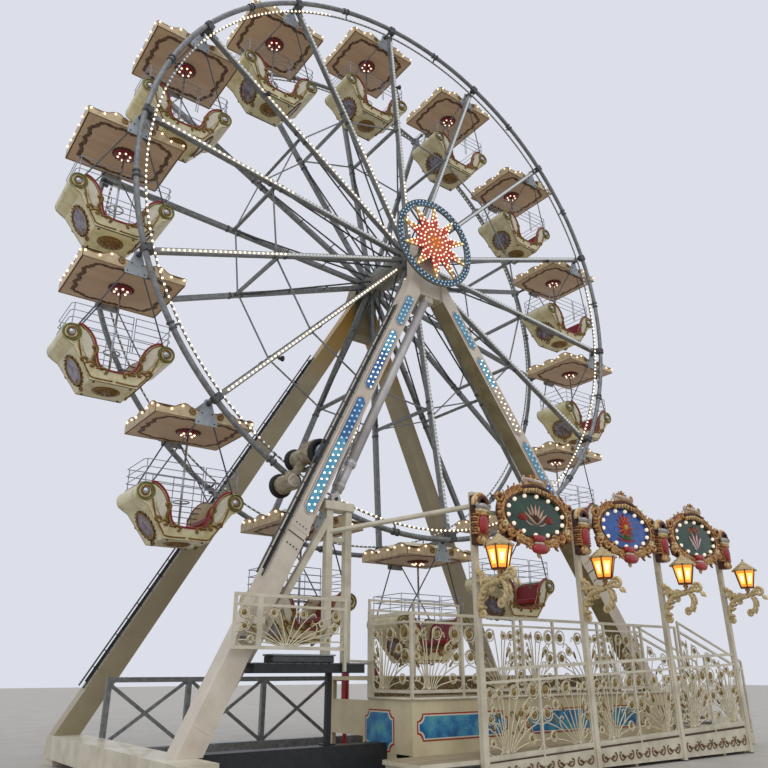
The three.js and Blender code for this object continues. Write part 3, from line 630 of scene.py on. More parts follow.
def buildRim(side, name, node):
    shape = Shape()
    y = side * wheel["rimY"]
    ringY = side * wheel["ringY"]
    addRod(shape, ringPath(wheel["rim"], y, 168), wheel["tube"], "galvanisedSteel", 10, True, 1.0,
        (0, 1, 0))
    addRod(shape, ringPath(wheel["ring"], ringY, 168), wheel["ringTube"], "galvanisedSteel", 6, True, 1.0,
        (0, 1, 0))
    for angle in angles:
        mid = angle + step / 2
        inner, outer = wheel["stay"]
        addBar(shape, onWheel(mid, inner, ringY), onWheel(mid, outer, y), 0.03, 0.04, "agedSteel", 0.004)
        wide = wheel["flange"]
        # bolted flange of two rim lengths
        for turn in (mid - wheel["flangeTurn"], mid + wheel["flangeTurn"]):
            addTurned(shape, [(0, -0.018), (wide, -0.018), (wide, 0.018), (0, 0.018)],
                onWheel(turn, wheel["rim"], y), onWheel(turn + 90, 1, 0) - onWheel(turn, 0, 0), "agedSteel",
                12, False)
        inner, outer = wheel["clamp"]
        addBar(shape, onWheel(angle, inner, y), onWheel(angle, outer, y), *wheel["clampSize"], "agedSteel",
            0.012, (0, 1, 0))
        for turn in (angle - wheel["boltTurn"], angle + wheel["boltTurn"]):
            addTurned(shape, [(0, -0.006), (0.018, -0.006), (0.018, 0.09), (0, 0.09)],
                onWheel(turn, 6.99, y), (0, side, 0), "blackPaint", 6, False)
        pinEnd = wheel["pivotY"] + side * wheel["pinReach"]
        addTurned(shape, [(0, 0), (0.07, 0), (0.07, 0.05), (0.036, 0.07), (0.036, 0.29), (0.05, 0.30),
            (0.05, 0.34), (0, 0.34)], onWheel(angle, wheel["rim"], side * 1.38), (0, -side, 0), "agedSteel",
            14, False)
        addRod(shape, [onWheel(angle, wheel["rim"], side * 1.2), onWheel(angle, wheel["rim"], pinEnd)],
            0.034, "brightSteel", 10)
    # the unlit bulbs glow faintly as a painted sky sheen
    spans = {"bulbOffSkySheen": ((0, 360),)}
    if side < 0:
        spans = {"bulbWarm": wheel["ringLit"], "bulbOffSkySheen": wheel["ringDark"]}
    for finish, arcs in spans.items():
        paths = [[onWheel(first + (last - first) * i / 90, wheel["ring"], ringY - 0.03) for i in range(91)]
            for first, last in arcs]
        grow(shape, "bulb", paths, finish, Spacing=wheel["bulbGap"], Radius=wheel["bulb"])
    build(name, shape, "wheel", "grey_steel", (node,))


buildRim(-1, "nearRim", "rim_near")
buildRim(1, "farRim", "rim_far")
print("rims bent")

# Cabins: drawn about their pivot and copied to the fourteen pivots

cabin = {"roofX": 0.965, "roofY": 0.84, "ceiling": -0.33, "eave": -0.15, "ridge": 0.06, "halfDepth": 0.55,
    "wall": 0.035, "bottom": -2.5, "floor": -2.42, "hangerY": 0.878, "boss": 0.215, "oval": (0.25, 0.3),
    "valance": 36, "bulb": ((0, 0), (0.02, 0.003), (0.023, 0.016), (0.016, 0.03), (0, 0.036))}


def tubDepth(z):
    low = cabin["bottom"]
    return cabin["halfDepth"] * (1 - 0.16 * min(1, max(0, (-1.96 - z) / (-1.96 - low))))


def mirrored(half):
    # half runs from the middle, x = 0, outwards; the other half is added in front of it
    return [(-u, v) for u, v in half[::-1] if u > 1e-6] + list(half)


def fasciaHeight(share):
    # share runs from 0 at the middle of a side to 1 at its corner
    knots = [(0, 0.15), (0.2, 0.165), (0.31, 0.2), (0.43, 0.25), (0.52, 0.225), (0.62, 0.165), (0.72, 0.13),
        (0.81, 0.118), (0.92, 0.13), (1, 0.155)]
    for (a, low), (b, high) in zip(knots, knots[1:]):
        if share <= b:
            blend = (share - a) / (b - a)
            return low + (high - low) * (3 - 2 * blend) * blend * blend
    return knots[-1][1]


def endHeight(share):
    return 0.1 + 0.13 * abs(sin(pi * (share * 1.5 + 0.5))) ** 0.7 + 0.03 * share


def valance(reach, heightAt):
    # outline of a canopy board: straight foot, scalloped top
    low, steps = cabin["ceiling"], cabin["valance"]
    shares = [1 - 2 * i / steps for i in range(steps + 1)]
    return [(reach, low)] + [(reach * share, low + heightAt(abs(share)))
        for share in shares] + [(-reach, low)]


def buildCanopy():
    shape = Shape()
    low, wide, deep = cabin["ceiling"], cabin["roofX"], cabin["roofY"]
    addSlab(shape, (-wide, -deep, low), (wide, deep, low + 0.03), "ceilingPly", 0.008)
    levels = []
    for i in range(7):
        t = i / 6
        x = wide - 0.03 + (0.4 - wide) * t
        y = (deep - 0.03) * (1 - t) + 0.02 * t
        z = cabin["eave"] + (cabin["ridge"] - cabin["eave"]) * sin(pi / 2 * t) ** 1.1
        levels.append([(x, y, z), (-x, y, z), (-x, -y, z), (x, -y, z)])
    points = [point for ring in levels for point in ring]
    faces = [[4 * i + k, 4 * i + (k + 1) % 4, 4 * i + 4 + (k + 1) % 4, 4 * i + 4 + k] for i in range(6)
        for k in range(4)]
    faces.append([24, 25, 26, 27])
    faces.append([3, 2, 1, 0])
    shape.add(points, faces, "gondolaCream")
    outline = valance(wide, fasciaHeight)
    for side in (-1, 1):
        addPlate(shape, outline, upright(side * (deep + 0.012)), upright(side * (deep - 0.018)),
            "canopyBoard", "lineGold")
        edge = [(u, side * deep, v) for u, v in outline[1:-1]]
        addRod(shape, edge, 0.016, "trimBrown", 6)
        foot = [(-wide, side * (deep + 0.01), low + 0.006), (wide, side * (deep + 0.01), low + 0.006)]
        addRod(shape, foot, 0.012, "canopyBoard", 6)
        for end in (-1, 1):
            curl = spiralPath((end * 0.27, low + 0.12), 0.075, 0.012, 90, -end * 1.4, 22)
            addRod(shape, [(u, side * (deep + 0.02), v) for u, v in curl], tapered(23, 0.016, 0.008),
                "lineGold", 5)
            for share in (0.97, 0.70, 0.49):
                addTurned(shape, cabin["bulb"], (end * wide * share, side * (deep + 0.012),
                    low + fasciaHeight(share) - 0.04), (0, side, 0), "bulbWarm", 8)
    outline = valance(deep, endHeight)
    for end in (-1, 1):
        addPlate(shape, outline, lambda u, v: (end * (wide + 0.012), u, v),
            lambda u, v: (end * (wide - 0.018), u, v), "canopyBoard", "lineGold")
        addRod(shape, [(end * wide, u, v) for u, v in outline[1:-1]], 0.016, "trimBrown", 6)
        for side in (-1, 1):
            for share in (0.2, 0.5, 0.82):
                addTurned(shape, cabin["bulb"], (end * (wide + 0.012), side * deep * share,
                    low + endHeight(share) - 0.045), (end, 0, 0), "bulbWarm", 8)
    # leaf border on the ceiling
    border = []
    for turn in around(120):
        c, s = polar(1, turn)
        reach = (abs(c) ** 5 + abs(s) ** 5) ** -0.2
        wave = 1 + 0.03 * sin(turn * 16)
        border.append((c * reach * (wide - 0.17) * wave, s * reach * (deep - 0.12) * wave, low - 0.002))
    addRod(shape, border, [0.02 + 0.034 * abs(sin(i * 1.3)) for i in range(120)], "borderBrown", 4, True,
        0.14, (0, 0, 1))
    # round boss with six bulbs
    disc = [(0, 0), (0.2, 0), (0.215, -0.02), (0.19, -0.05), (0.06, -0.06), (0, -0.06)]
    addTurned(shape, [(r, -z) for r, z in disc], (0, 0, low), (0, 0, -1), "winePaint", 24)
    for turn in around(18):
        addTurned(shape, [(0, -0.01), (0.036, 0), (0.03, 0.02), (0, 0.028)],
            (*polar(cabin["boss"], turn), low), (0, 0, -1), "leafBrown", 6)
    for turn in around(6, 0.5):
        addTurned(shape, cabin["bulb"], (*polar(0.125, turn), low - 0.05), (0, 0, -1), "bulbWarm", 8)
    # hangers at the front and the back, with the stays down to the tub
    for side in (-1, 1):
        outline = mirrored([(0, -0.43), (0.21, -0.43), (0.215, -0.34), (0.15, -0.2), (0.09, -0.02),
            (0.085, 0.03), (0.06, 0.075), (0.0, 0.09)])
        front = side * cabin["hangerY"]
        addPlate(shape, outline, upright(front), upright(front - side * 0.016), "hangerGrey")
        addRod(shape, [(0, side * 0.84, 0), (0, side * 0.9, 0)], 0.055, "agedSteel", 12)
        for u, v in ((0.16, -0.38), (-0.16, -0.38), (0.1, -0.2), (-0.1, -0.2)):
            addBolt(shape, (u, front, v), (0, side, 0), 0.014, 0.012)
        for end in (-1, 1):
            top, foot = (end * 0.13, side * 0.82, -0.31), (end * 0.8, side * 0.532, -1.6)
            addBar(shape, top, foot, 0.024, 0.024, "agedSteel", 0.004)
            addBar(shape, (end * 0.08, side * 0.868, -0.1), top, 0.02, 0.02, "agedSteel")
    return shape


tubEdge = [(0, -2.5), (0.42, -2.5), (0.8, -1.96), (0.9, -1.905), (1.0, -1.835)]
volute = (0.86, -1.72)  # middle of the rolled corner of the tub
tubRoll = arcPath(volute, 0.17, -38, 95, 12)
tubSlope = [(0.76, -1.535), (0.7, -1.54), (0.62, -1.58), (0.53, -1.66), (0.45, -1.78), (0.4, -1.93),
    (0.37, -2.06), (0.335, -2.16), (0.27, -2.235), (0.15, -2.27), (0, -2.275)]


def onTub(side, lift=0.0):
    return lambda u, v: Vector((u, side * (tubDepth(v) + lift), v))


def buildTub():
    shape = Shape()
    half = tubEdge + tubRoll + tubSlope
    outline = half[:-1] + [(-u, v) for u, v in half[::-1] if u > 1e-6]
    outline.insert(len(half) - 1, half[-1])
    wall = cabin["wall"]
    slope = smoothPath(tubSlope, 3)

    def addLine(side, lift, path, radius, finish, sides=5, closed=False):
        addRod(shape, onto(onTub(side, lift), path), radius, finish, sides, closed)

    for side in (-1, 1):
        addPlate(shape, outline, onTub(side), onTub(side, -wall), "gondolaCream")
        full = scaled(-1, slope) + slope[::-1]
        addLine(side, 0.004, full, 0.02, "redVinyl", 6)
        for end in (-1, 1):
            eye = (end * volute[0], volute[1])
            inner = [(end * (u + 0.036), v - 0.03) for u, v in slope[:-4]]
            addLine(side, 0.004, inner, 0.013, "lineGold")
            ring = arcPath(eye, 0.148, 0, 360, 22)[:-1]
            addLine(side, 0.006, ring, 0.02, "greenGold", 6, True)
            curl = spiralPath(eye, 0.125, 0.06, -60 if end > 0 else 240, -end * 1.2, 20)
            addLine(side, 0.006, curl, tapered(21, 0.018, 0.01), "lineGold")
            addTurned(shape, [(0, 0), (0.062, 0), (0.066, 0.012), (0.045, 0.02), (0.03, 0.034), (0, 0.04)],
                onTub(side)(*eye), (0, side, 0), "brightSteel", 12)
            edge = smoothPath([(end * 0.03, -2.455), (end * 0.38, -2.455), (end * 0.47, -2.38),
                (end * 0.6, -2.19), (end * 0.69, -1.98), (end * 0.72, -1.84)], 5)
            addLine(side, 0.003, edge, 0.015, "lineGold")
            lobe = smoothPath([(0.5, -1.76), (0.58, -1.66), (0.67, -1.64), (0.69, -1.74), (0.66, -1.86),
                (0.62, -2.0), (0.53, -2.13), (0.47, -2.12), (0.46, -1.95)], 4, True)
            lobe = scaled(end, lobe)
            addPlate(shape, lobe, onTub(side, 0.006), onTub(side, -0.002), "gondolaPale")
            curls = [((0.40, -2.17), 20, 0.34, (1200, 500, -200, -500, -1500)),
                ((0.44, -2.12), 80, 0.36, (700, 100, -500, -1300, -2200)),
                ((0.56, -2.24), 150, 0.30, (-300, 300, 900, 1500, 2400)),
                ((0.36, -2.28), 185, 0.3, (-500, 0, 400, 1200, 2200)),
                ((0.50, -2.22), 55, 0.24, (200, -500, -1500, -2600))]
            for start, heading, length, bends in curls:
                path = scaled(end, curlPath(start, heading, length, bends, 16))
                addLine(side, 0.008, path, tapered(17, 0.026, 0.009), "lineGold")
    skin = tubEdge + tubRoll[:9]
    inner = [(u - 0.04, v + 0.02) for u, v in skin]
    inner[0], inner[1] = (0, cabin["floor"]), (0.4, cabin["floor"])
    for end in (-1, 1):
        band = scaled(end, skin + inner[::-1])
        addPlate(shape, band, onTub(-1, -0.002), onTub(1, -0.002), "gondolaCream")
        # painted oval in its gold frame on the slanted end
        foot, head = Vector((end * 0.42, 0, -2.5)), Vector((end * 0.8, 0, -1.96))
        along = (head - foot).normalized()
        out = Vector((along.z * end, 0, -along.x * end))
        middle = (foot + head) / 2
        onEnd = lambda u, v, lift=0.0: middle + along * u + Vector((0, v, 0)) + out * lift
        long, deep = cabin["oval"]
        rim = [(long * cos(turn), deep * sin(turn)) for turn in around(28)]
        addSheet(shape, onEnd, rim, 0.012, -0.01, "medallion")
        addRod(shape, onto(onEnd, rim, 0.012), 0.02, "lineGold", 6, True)
        for k, turn in enumerate(around(20)):  # leaves and beads round the oval
            root = onEnd((long + 0.01) * cos(turn), (deep + 0.01) * sin(turn), 0.004)
            tip = onEnd((long + 0.062) * cos(turn + 0.16), (deep + 0.062) * sin(turn + 0.16), 0.004)
            addRod(shape, [root, (root + tip) / 2 + out * 0.008, tip], [0.02, 0.022, 0.006],
                "leafBrown" if k % 2 else "lineGold", 5)
        for sign in (-1, 1):
            curl = curlPath((-0.27, sign * 0.03), 90 + sign * 100, 0.3,
                (-sign * 300, -sign * 900, -sign * 2200), 12)
            addRod(shape, onto(onEnd, curl, 0.006), tapered(13, 0.018, 0.007), "lineGold", 5)
    # round medallion and four bolts underneath
    for reach, drop, finish in ((1.0, 0.012, "lineGold"), (0.9, 0.016, "umberField"),
            (0.45, 0.02, "lineGold")):
        addTurned(shape, [(0, -0.005), (0.25 * reach, -0.005), (0.25 * reach, drop), (0, drop + 0.004)],
            (0, 0, -2.5), (0, 0, -1), finish, 28)
    for turn in around(12):
        curl = [(*polar(r, turn + s), -2.518) for r, s in ((0.1, 0), (0.14, 0.14), (0.185, 0.1),
            (0.2, -0.08))]
        addRod(shape, curl, (0.014, 0.016, 0.014, 0.006), "lineGold", 5)
    for x in (-0.33, 0.33):
        for y in (-0.38, 0.38):
            addTurned(shape, [(0, 0), (0.022, 0), (0.022, 0.016), (0, 0.02)], (x, y, -2.5), (0, 0, -1),
                "blackPaint", 8)
    return shape


def buildRails():
    shape = Shape()
    top, gap, wide, y = -1.12, 0.14, 0.93, 0.5
    paths = []
    for i in range(4):
        z = top - gap * i
        paths.append([(-0.2, -y, z), (0.17, -y, z), (0.19, -y, z - 0.02)] if i else [])
        paths.append([(0.19, -y, z), (-wide + 0.05, -y, z), (-wide, -y + 0.05, z - 0.01),
            (-wide, y - 0.05, z - 0.01), (-wide + 0.05, y, z), (0.2, y, z), (wide - 0.05, y, z),
            (wide, y - 0.05, z - 0.01), (wide, -y + 0.05, z - 0.01), (wide - 0.05, -y, z), (0.24, -y, z)])
    for i in range(7):  # rails across the doorway at the back
        z = top - gap * 4 - 0.11 * i
        reach = 0.62 - 0.045 * i
        paths.append([(-reach, y, z), (reach, y, z)])
    for x in (0.19, 0.235):
        paths.append([(x, -y, top), (x, -y, -1.82)])
    for x in (-0.42, 0.0, 0.42):
        paths.append([(x, y, top), (x, y, -2.2)])
    for x in (-wide + 0.05, wide - 0.05):
        for side in (-1, 1):
            paths.append([(x, side * y, top), (x, side * y, -1.58)])
    paths = [path for path in paths if path]
    grow(shape, "rod", paths, "wireSteel", Radius=0.0085, Sides=5)
    addRod(shape, [(0, 0, cabin["ceiling"]), (0, 0, cabin["floor"])], 0.022, "brightSteel", 10)
    wheelRing = [(*polar(0.15, turn), -1.72) for turn in around(20)]
    addRod(shape, wheelRing, 0.013, "brightSteel", 6, True)
    for turn in around(3):
        addRod(shape, [(0, 0, -1.74), (*polar(0.15, turn), -1.72)], 0.01, "brightSteel", 6)
    return shape


def addCushion(shape, low, high, finish, across=9, power=4.0, turn=None):
    # a padded block: round edges, crowned faces that pull in towards the corners
    centre = [(a + b) / 2 for a, b in zip(low, high)]
    half = [(b - a) / 2 for a, b in zip(low, high)]
    index = {}
    points = []

    def corner(cell):
        if cell not in index:
            raw = [2 * c / across - 1 for c in cell]
            size = sum(abs(r) ** power for r in raw) ** (1 / power)
            push = max(abs(r) for r in raw) / size
            point = Vector([c + r * push * h for c, r, h in zip(centre, raw, half)])
            index[cell] = len(points)
            points.append(turn @ point if turn else point)
        return index[cell]

    faces = []
    for axis in range(3):
        for side in (0, across):
            for a in range(across):
                for b in range(across):
                    loop = []
                    for da, db in ((0, 0), (1, 0), (1, 1), (0, 1)):
                        cell = [a + da, b + db]
                        cell.insert(axis, side)
                        loop.append(corner(tuple(cell)))
                    faces.append(loop)
    shape.add(points, faces, finish, True)


def buildSeats():
    shape = Shape()
    for end in (-1, 1):
        low, high = sorted((end * 0.37, end * 0.7))
        addCushion(shape, (low, -0.49, -2.13), (high, 0.49, -2.01), "redVinyl", 8, 5)
        lean = Matrix.Translation((end * 0.745, 0, -1.83)) @ Matrix.Rotation(end * radians(14), 4, "Y")
        addCushion(shape, (-0.05, -0.48, -0.2), (0.05, 0.48, 0.2), "redVinyl", 8, 5, lean)
    return shape


# painted ply of the valances, straw yellow and dull
surface("canopyBoard", ("#b59b74", "#d3bf9a", "#e2d2b0"), 120, (0.4, 0.55), bumpMm=0.3, grainMm=20)
# stencilled leaf border, thinned brown paint that the ply shows through
surface("borderBrown", ("#4a2f1c", "#6e4c30", "#a08060"), 30, (0.5, 0.65), places=(0.35, 0.55, 0.75))
# umber glaze of the round medallion under each tub
surface("umberField", ("#6a4722", "#93703a", "#b59658"), 60, (0.35, 0.5), bumpMm=0.3,
    places=(0.3, 0.55, 0.8))
# brown lacquered edge of the valances, rubbed to gold on its crown
surface("trimBrown", ("#6d4a26", "#8d6436", "#a67c4b"), 60, (0.35, 0.5), metallic=0.2, bumpMm=0.3,
    grainMm=10)
# grey enamel on pressed sheet, plain and smooth
surface("hangerGrey", ("#9aa3a8", "#b5bdc1"), 120, (0.4, 0.55), metallic=0.2, bumpMm=0.2)
# zinc plated wire of the seat rails: cool grey with a soft shine
surface("wireSteel", ("#8d949b", "#a9b0b6"), 60, (0.25, 0.4), metallic=0.6)


def buildCabins():
    patterns = {"Canopy": (buildCanopy(), "cabin_paint"), "Tub": (buildTub(), "cabin_paint"),
        "Rails": (buildRails(), "grey_steel"), "Seats": (buildSeats(), "jack_red")}
    meshes = {kind: meshOf("cabin" + kind, shape) for kind, (shape, _) in patterns.items()}
    print("cabin faces:", {kind: len(mesh.polygons) for kind, mesh in meshes.items()})
    for joint in frame["joints"]:
        if not joint["name"].startswith("cabin_"):
            continue
        number = joint["name"][6:8]
        for kind, mesh in meshes.items():
            copy = mesh.copy()
            copy.transform(Matrix.Translation(joint["pos_m"]))
            replaced = ("cabin_" + number,) if kind == "Tub" else ()
            piece = place("cabin" + number + kind, copy, joint["child"], patterns[kind][1], replaced)
    for mesh in meshes.values():
        bpy.data.meshes.remove(mesh)


buildCabins()
print("fourteen cabins hung")

# Spokes: bulb strips on the near ones, thin inner rods on both sides, bolted ends

strips = {"lit": {0: (0.72, 3.4), 1: (0.72, 2.3), 9: (0.72, 6.62), 10: (0.72, 6.62), 11: (3.7, 6.62),
    12: (3.4, 6.62), 13: (0.72, 5.6)}, "darkSpacing": 0.095, "darkBulb": 0.027, "from": 0.72, "to": 6.62,
    "spacing": 0.112, "bulb": 0.023, "lift": 0.078, "rod": 0.022, "root": 0.29, "joint": 3.9,
    "ties": (1.5, 2.5, 3.3), "plates": (3.78, 4.06), "bolts": 28, "boltRing": 0.385, "lamp": 5.2}


def buildSpokeTrim():
    shape = Shape()
    lit, dark = [], []
    for index, angle in enumerate(angles):
        start, end = strips["from"], strips["to"]
        line = [onWheel(angle, r, spokeY(-1, r) - strips["lift"]) for r in (start, end)]
        addBar(shape, line[0] + Vector((0, 0.016, 0)), line[1] + Vector((0, 0.016, 0)), 0.06, 0.018,
            "stripWhite", 0.0, (0, 1, 0))
        first, last = strips["lit"].get(index, (start, start))
        for a, b, group in ((start, first, dark), (first, last, lit), (last, end, dark)):
            if b - a > 0.2:
                group.append([onWheel(angle, r, spokeY(-1, r) - strips["lift"]) for r in (a, b)])
    grow(shape, "bulb", lit, "bulbWarm", Spacing=strips["spacing"], Radius=strips["bulb"])
    # the unlit bulbs glow faintly as a painted sky sheen
    grow(shape, "bulb", dark, "bulbOffSkySheen", Spacing=strips["darkSpacing"], Radius=strips["darkBulb"])
    for side in (-1, 1):
        inner = wheel["nearIn"] if side < 0 else wheel["farIn"]
        start, end = strips["root"], strips["joint"]
        for angle in angles:
            joint = onWheel(angle, end, spokeY(side, end) - side * 0.04)
            root = onWheel(angle, start, inner - side * 0.42)
            addRod(shape, [root, joint], strips["rod"], "agedSteel", 7)
            for radius in strips["ties"]:
                share = (radius - start) / (end - start)
                addRod(shape, [onWheel(angle, radius, spokeY(side, radius)), root + (joint - root) * share],
                    0.014, "agedSteel", 6)
            tip = onWheel(angle, 6.8, spokeY(side, 6.8))
            addBar(shape, tip, onWheel(angle, 6.95, side * 1.31), 0.15, 0.125, "agedSteel", 0.01, (0, 1, 0))
            for radius in strips["plates"]:
                addBar(shape, onWheel(angle, radius - 0.03, spokeY(side, radius)),
                    onWheel(angle, radius + 0.03, spokeY(side, radius)), 0.135, 0.135, "agedSteel", 0.01,
                    (0, 1, 0))
        flange = inner - side * 0.03
        for k in range(strips["bolts"]):
            addBolt(shape, onWheel(360 * k / strips["bolts"] + 3, strips["boltRing"], flange + side * 0.05),
                (0, side, 0), 0.018, 0.02)
    for angle in angles[1::3]:  # small floodlights clamped to some spokes
        foot = onWheel(angle, strips["lamp"], spokeY(-1, strips["lamp"]) - 0.05)
        head = foot + Vector((0.05, -0.09, -0.09))
        addRod(shape, [foot, foot + Vector((0, -0.04, -0.07)), head], 0.012, "blackPaint", 6)
        addTurned(shape, [(0, -0.06), (0.035, -0.055), (0.05, 0.02), (0.062, 0.05), (0, 0.045)], head,
            (0.3, -0.8, -0.3), "blackPaint", 12)
    build("spokeTrim", shape, "wheel", "grey_steel")


# white lacquered sheet, a little greyed
surface("stripWhite", ("#b9bcbb", "#d0d2cf"), 80, (0.4, 0.5))
buildSpokeTrim()

# Star: a painted ring round a ten pointed star, both set with bulbs

star = {"points": 10, "tip": 1.05, "valley": 0.45, "ring": (0.985, 1.15), "front": -2.074, "back": -2.03,
    "bulb": 0.021, "ringBulb": 0.02, "ringCount": 58, "ringInset": 0.045, "tipClear": 2.2, "heart": 0.1,
    "valleyRows": (0.46, 0.35), "rows": ((0.92, (0,)), (0.78, (-0.045, 0.045)), (0.67, (-0.07, 0.07)),
    (0.56, (-0.1, 0.1)), (0.62, (0,)), (0.46, (-0.06, 0.06)), (0.35, (-0.05, 0.06)), (0.22, (0,)))}


def starMaterial():
    tree, shader, where = newMaterial("starPaint")
    # sheet steel painted from an orange heart through red to straw yellow tips
    centred = addNode(tree, "ShaderNodeMapping", {"Location": [-axle.x, -(ground.y + star["front"]),
        -axle.z]}, {"Vector": where})
    far = addNode(tree, "ShaderNodeVectorMath", {"operation": "LENGTH"}, {0: centred.outputs[0]})
    patches = mottle(tree, where, 120)
    mixed = addNode(tree, "ShaderNodeMath", {"operation": "MULTIPLY_ADD", 1: 0.09}, {0: patches})
    tree.links.new(far.outputs["Value"], mixed.inputs[2])
    tree.links.new(blendColours(tree, mixed.outputs[0], [(0.1, "#c8722f"), (0.24, "#c4602d"),
        (0.4, "#c03f2a"), (0.7, "#ba3a28"), (0.8, "#c79a52"), (1.0, "#c2a564")]),
        shader.inputs["Base Color"])
    shader.inputs["Roughness"].default_value = 0.42
    bumpFrom(tree, shader, mottle(tree, where, 30, 2.0), 0.3)


def addBulb(shape, centre, out, finish, size, sides=7):
    addTurned(shape, [(0, -0.004), (size * 0.8, 0.002), (size, size * 0.7), (size * 0.72, size * 1.3),
        (0, size * 1.5)], centre, out, finish, sides)


def addBand(shape, inner, outer, near, far, finish):
    # a flat ring about the wheel's axle
    steps = 96
    points = []
    for radius, y in ((inner, near), (outer, near), (outer, far), (inner, far)):
        points += ringPath(radius, y, steps)
    faces = []
    for one in range(4):
        two = (one + 1) % 4
        for k in range(steps):
            n = (k + 1) % steps
            faces.append([one * steps + k, one * steps + n, two * steps + n, two * steps + k])
    shape.add(points, faces, finish)


def buildStar():
    shape = Shape()
    front = star["front"]
    outline = []
    for k in range(2 * star["points"]):
        reach = star["valley"] if k % 2 else star["tip"]
        turn = pi * k / star["points"]
        outline.append((reach * sin(turn), axle.z + reach * cos(turn)))
    addPlate(shape, outline, upright(front - 0.004), upright(star["back"]), "starPaint")
    inner, outer = star["ring"]
    addBand(shape, inner, outer, front + 0.006, front + 0.055, "ringBlue")
    for reach in (inner, outer):
        addRod(shape, ringPath(reach, front + 0.006, 96), 0.01, "ringEdge", 5, True, 1.0, (0, 1, 0))
    pitch = 360 / star["points"]
    # the ring's clear bulbs are unlit, their pale blue glow a painted reflection of the sky
    for k in range(star["ringCount"]):
        turn = 360 * k / star["ringCount"]
        addBulb(shape, onWheel(turn, outer - star["ringInset"], front + 0.006), (0, -1, 0), "bulbSkyReflection",
            star["ringBulb"])
        turn += 180 / star["ringCount"]
        if star["tipClear"] < turn % pitch < pitch - star["tipClear"]:  # the tips cover the others
            addBulb(shape, onWheel(turn, inner + star["ringInset"], front + 0.006), (0, -1, 0), "bulbSkyReflection",
                star["ringBulb"])
    for k in range(star["points"]):
        for reach, places in star["rows"]:
            for across in places:
                between = pitch / 2 if reach in star["valleyRows"] else 0
                turn = pitch * k + degrees(across / reach) + between
                addBulb(shape, onWheel(turn, reach, front - 0.004), (0, -1, 0), "bulbWarm", star["bulb"])
    for k in range(5):
        addBulb(shape, onWheel(72 * k, star["heart"], front - 0.004), (0, -1, 0), "bulbAmber", star["bulb"])
    addTurned(shape, [(0, 0), (0.2, 0), (0.2, 0.17), (0, 0.17)], (0, -2.03, axle.z), (0, 1, 0), "agedSteel",
        20)
    for k in range(4):
        turn = 45 + 90 * k
        addBar(shape, onWheel(turn, 0.1, -2.01), onWheel(turn, 1.1, -2.01), 0.04, 0.03, "agedSteel", 0,
            (0, 1, 0))
    build("starSign", shape, "base", "sign_blue", ("star_sign",))


starMaterial()
# pale brass edge of the ring
surface("ringEdge", ("#7d7150", "#9c9070"), 60, (0.35, 0.5), metallic=0.2)
# amber dipped bulbs, and clear unlit ones whose pale blue glow is a painted reflection of the sky
glow("bulbAmber", "#ff9a3c", 1.2)
glow("bulbSkyReflection", "#9fc6dc", 0.55, "#b9d3e0")
buildStar()
print("star set with bulbs")

# Legs: box beams with painted strips, two rows of bulbs, a cable ladder and fixings

legs = {"foot": 0.5003, "head": 0.3503, "bulb": 0.021, "pitch": 0.145, "rows": (-0.048, 0.048),
        "bolts": (3.5, 3.86), "splice": (3.78, 3.92), "seam": (3.67, 3.69), "cover": (0.8, 3.45),
        "ladderGap": 0.03, "ladderWide": 0.1, "rung": 0.3,
        "front": {"x": 5.839, "y": -2.953, "slope": 0.5403, "lean": 0.129, "width": 0.345, "depth": 0.394,
            "paint": "legFront", "inside": "legInside", "ladder": (9.2, 2.9)},
        "rear": {"x": 6.06, "y": 2.42, "slope": 0.554, "lean": -0.125, "width": 0.41, "depth": 0.36,
            "paint": "legRear", "inside": "legRear", "ladder": (8.9, 1.2)},
        # top, foot, paint at the top, paint at the foot, share of the strip below which its bulbs are lit
        -1: ((9.6, 8.66, "stripSky", "stripSky", 0.0), (8.5, 6.84, "stripSea", "stripDeep", 1.0),
             (6.65, 4.07, "stripDeep", "stripSea", 0.56)),
        1: ((9.6, 8.66, "stripSky", "stripSky", 0.0), (8.5, 6.66, "stripSea", "stripTan", 1.0),
            (6.55, 4.07, "stripSky", "stripDeep", 0.0))}


class LegLine:
    def __init__(self, kind, side):
        self.side = side
        self.sizes = legs[kind]
        self.along = Vector((-side * self.sizes["slope"], self.sizes["lean"], 1)).normalized()
        out = Vector((0, -1, 0))
        self.out = (out - self.along * out.dot(self.along)).normalized()
        self.across = self.out.cross(self.along)

    def at(self, z, u=0.0, lift=0.0):
        middle = Vector((self.side * (self.sizes["x"] - self.sizes["slope"] * z),
            self.sizes["y"] + self.sizes["lean"] * z, z))
        return middle + self.across * u + self.out * (self.sizes["depth"] / 2 + lift)


def addBeam(shape, line, paints):
    # box from the foot to the bearing head, its faces painted front, outside, back and inside; on the front
    # legs the front and outside faces take the painted sunlit copy of the enamel, the back and inside the
    # painted shaded copy
    half = line.sizes["width"] / 2
    corners = []
    for u, lift in ((-half, 0), (half, 0), (half, -line.sizes["depth"]), (-half, -line.sizes["depth"])):
        point = line.at(1.0, u, lift)
        corners.append(point + line.along * ((legs["foot"] - point.z) / line.along.z))
        corners.append(point + line.along * ((line.side * legs["head"] - point.x) / line.along.x))
    for k, paint in enumerate(paints):
        n = (k + 1) % 4
        shape.add([corners[2 * k], corners[2 * n], corners[2 * n + 1], corners[2 * k + 1]], [[0, 1, 2, 3]],
            paint)
    shape.add(corners, [[0, 2, 4, 6], [1, 3, 5, 7]], paints[0])


def steppedStrip(length, half):
    # rounded ends with a small square step on each shoulder
    end = arcPath((0.62 * half, 0), 0.62 * half, 90, 270, 8)
    low = [(0.9 * half, half), (0.62 * half, 0.82 * half)] + end + [(0.62 * half, -0.82 * half),
        (0.9 * half, -half)]
    return low + [(length - u, v) for u, v in low[::-1]]


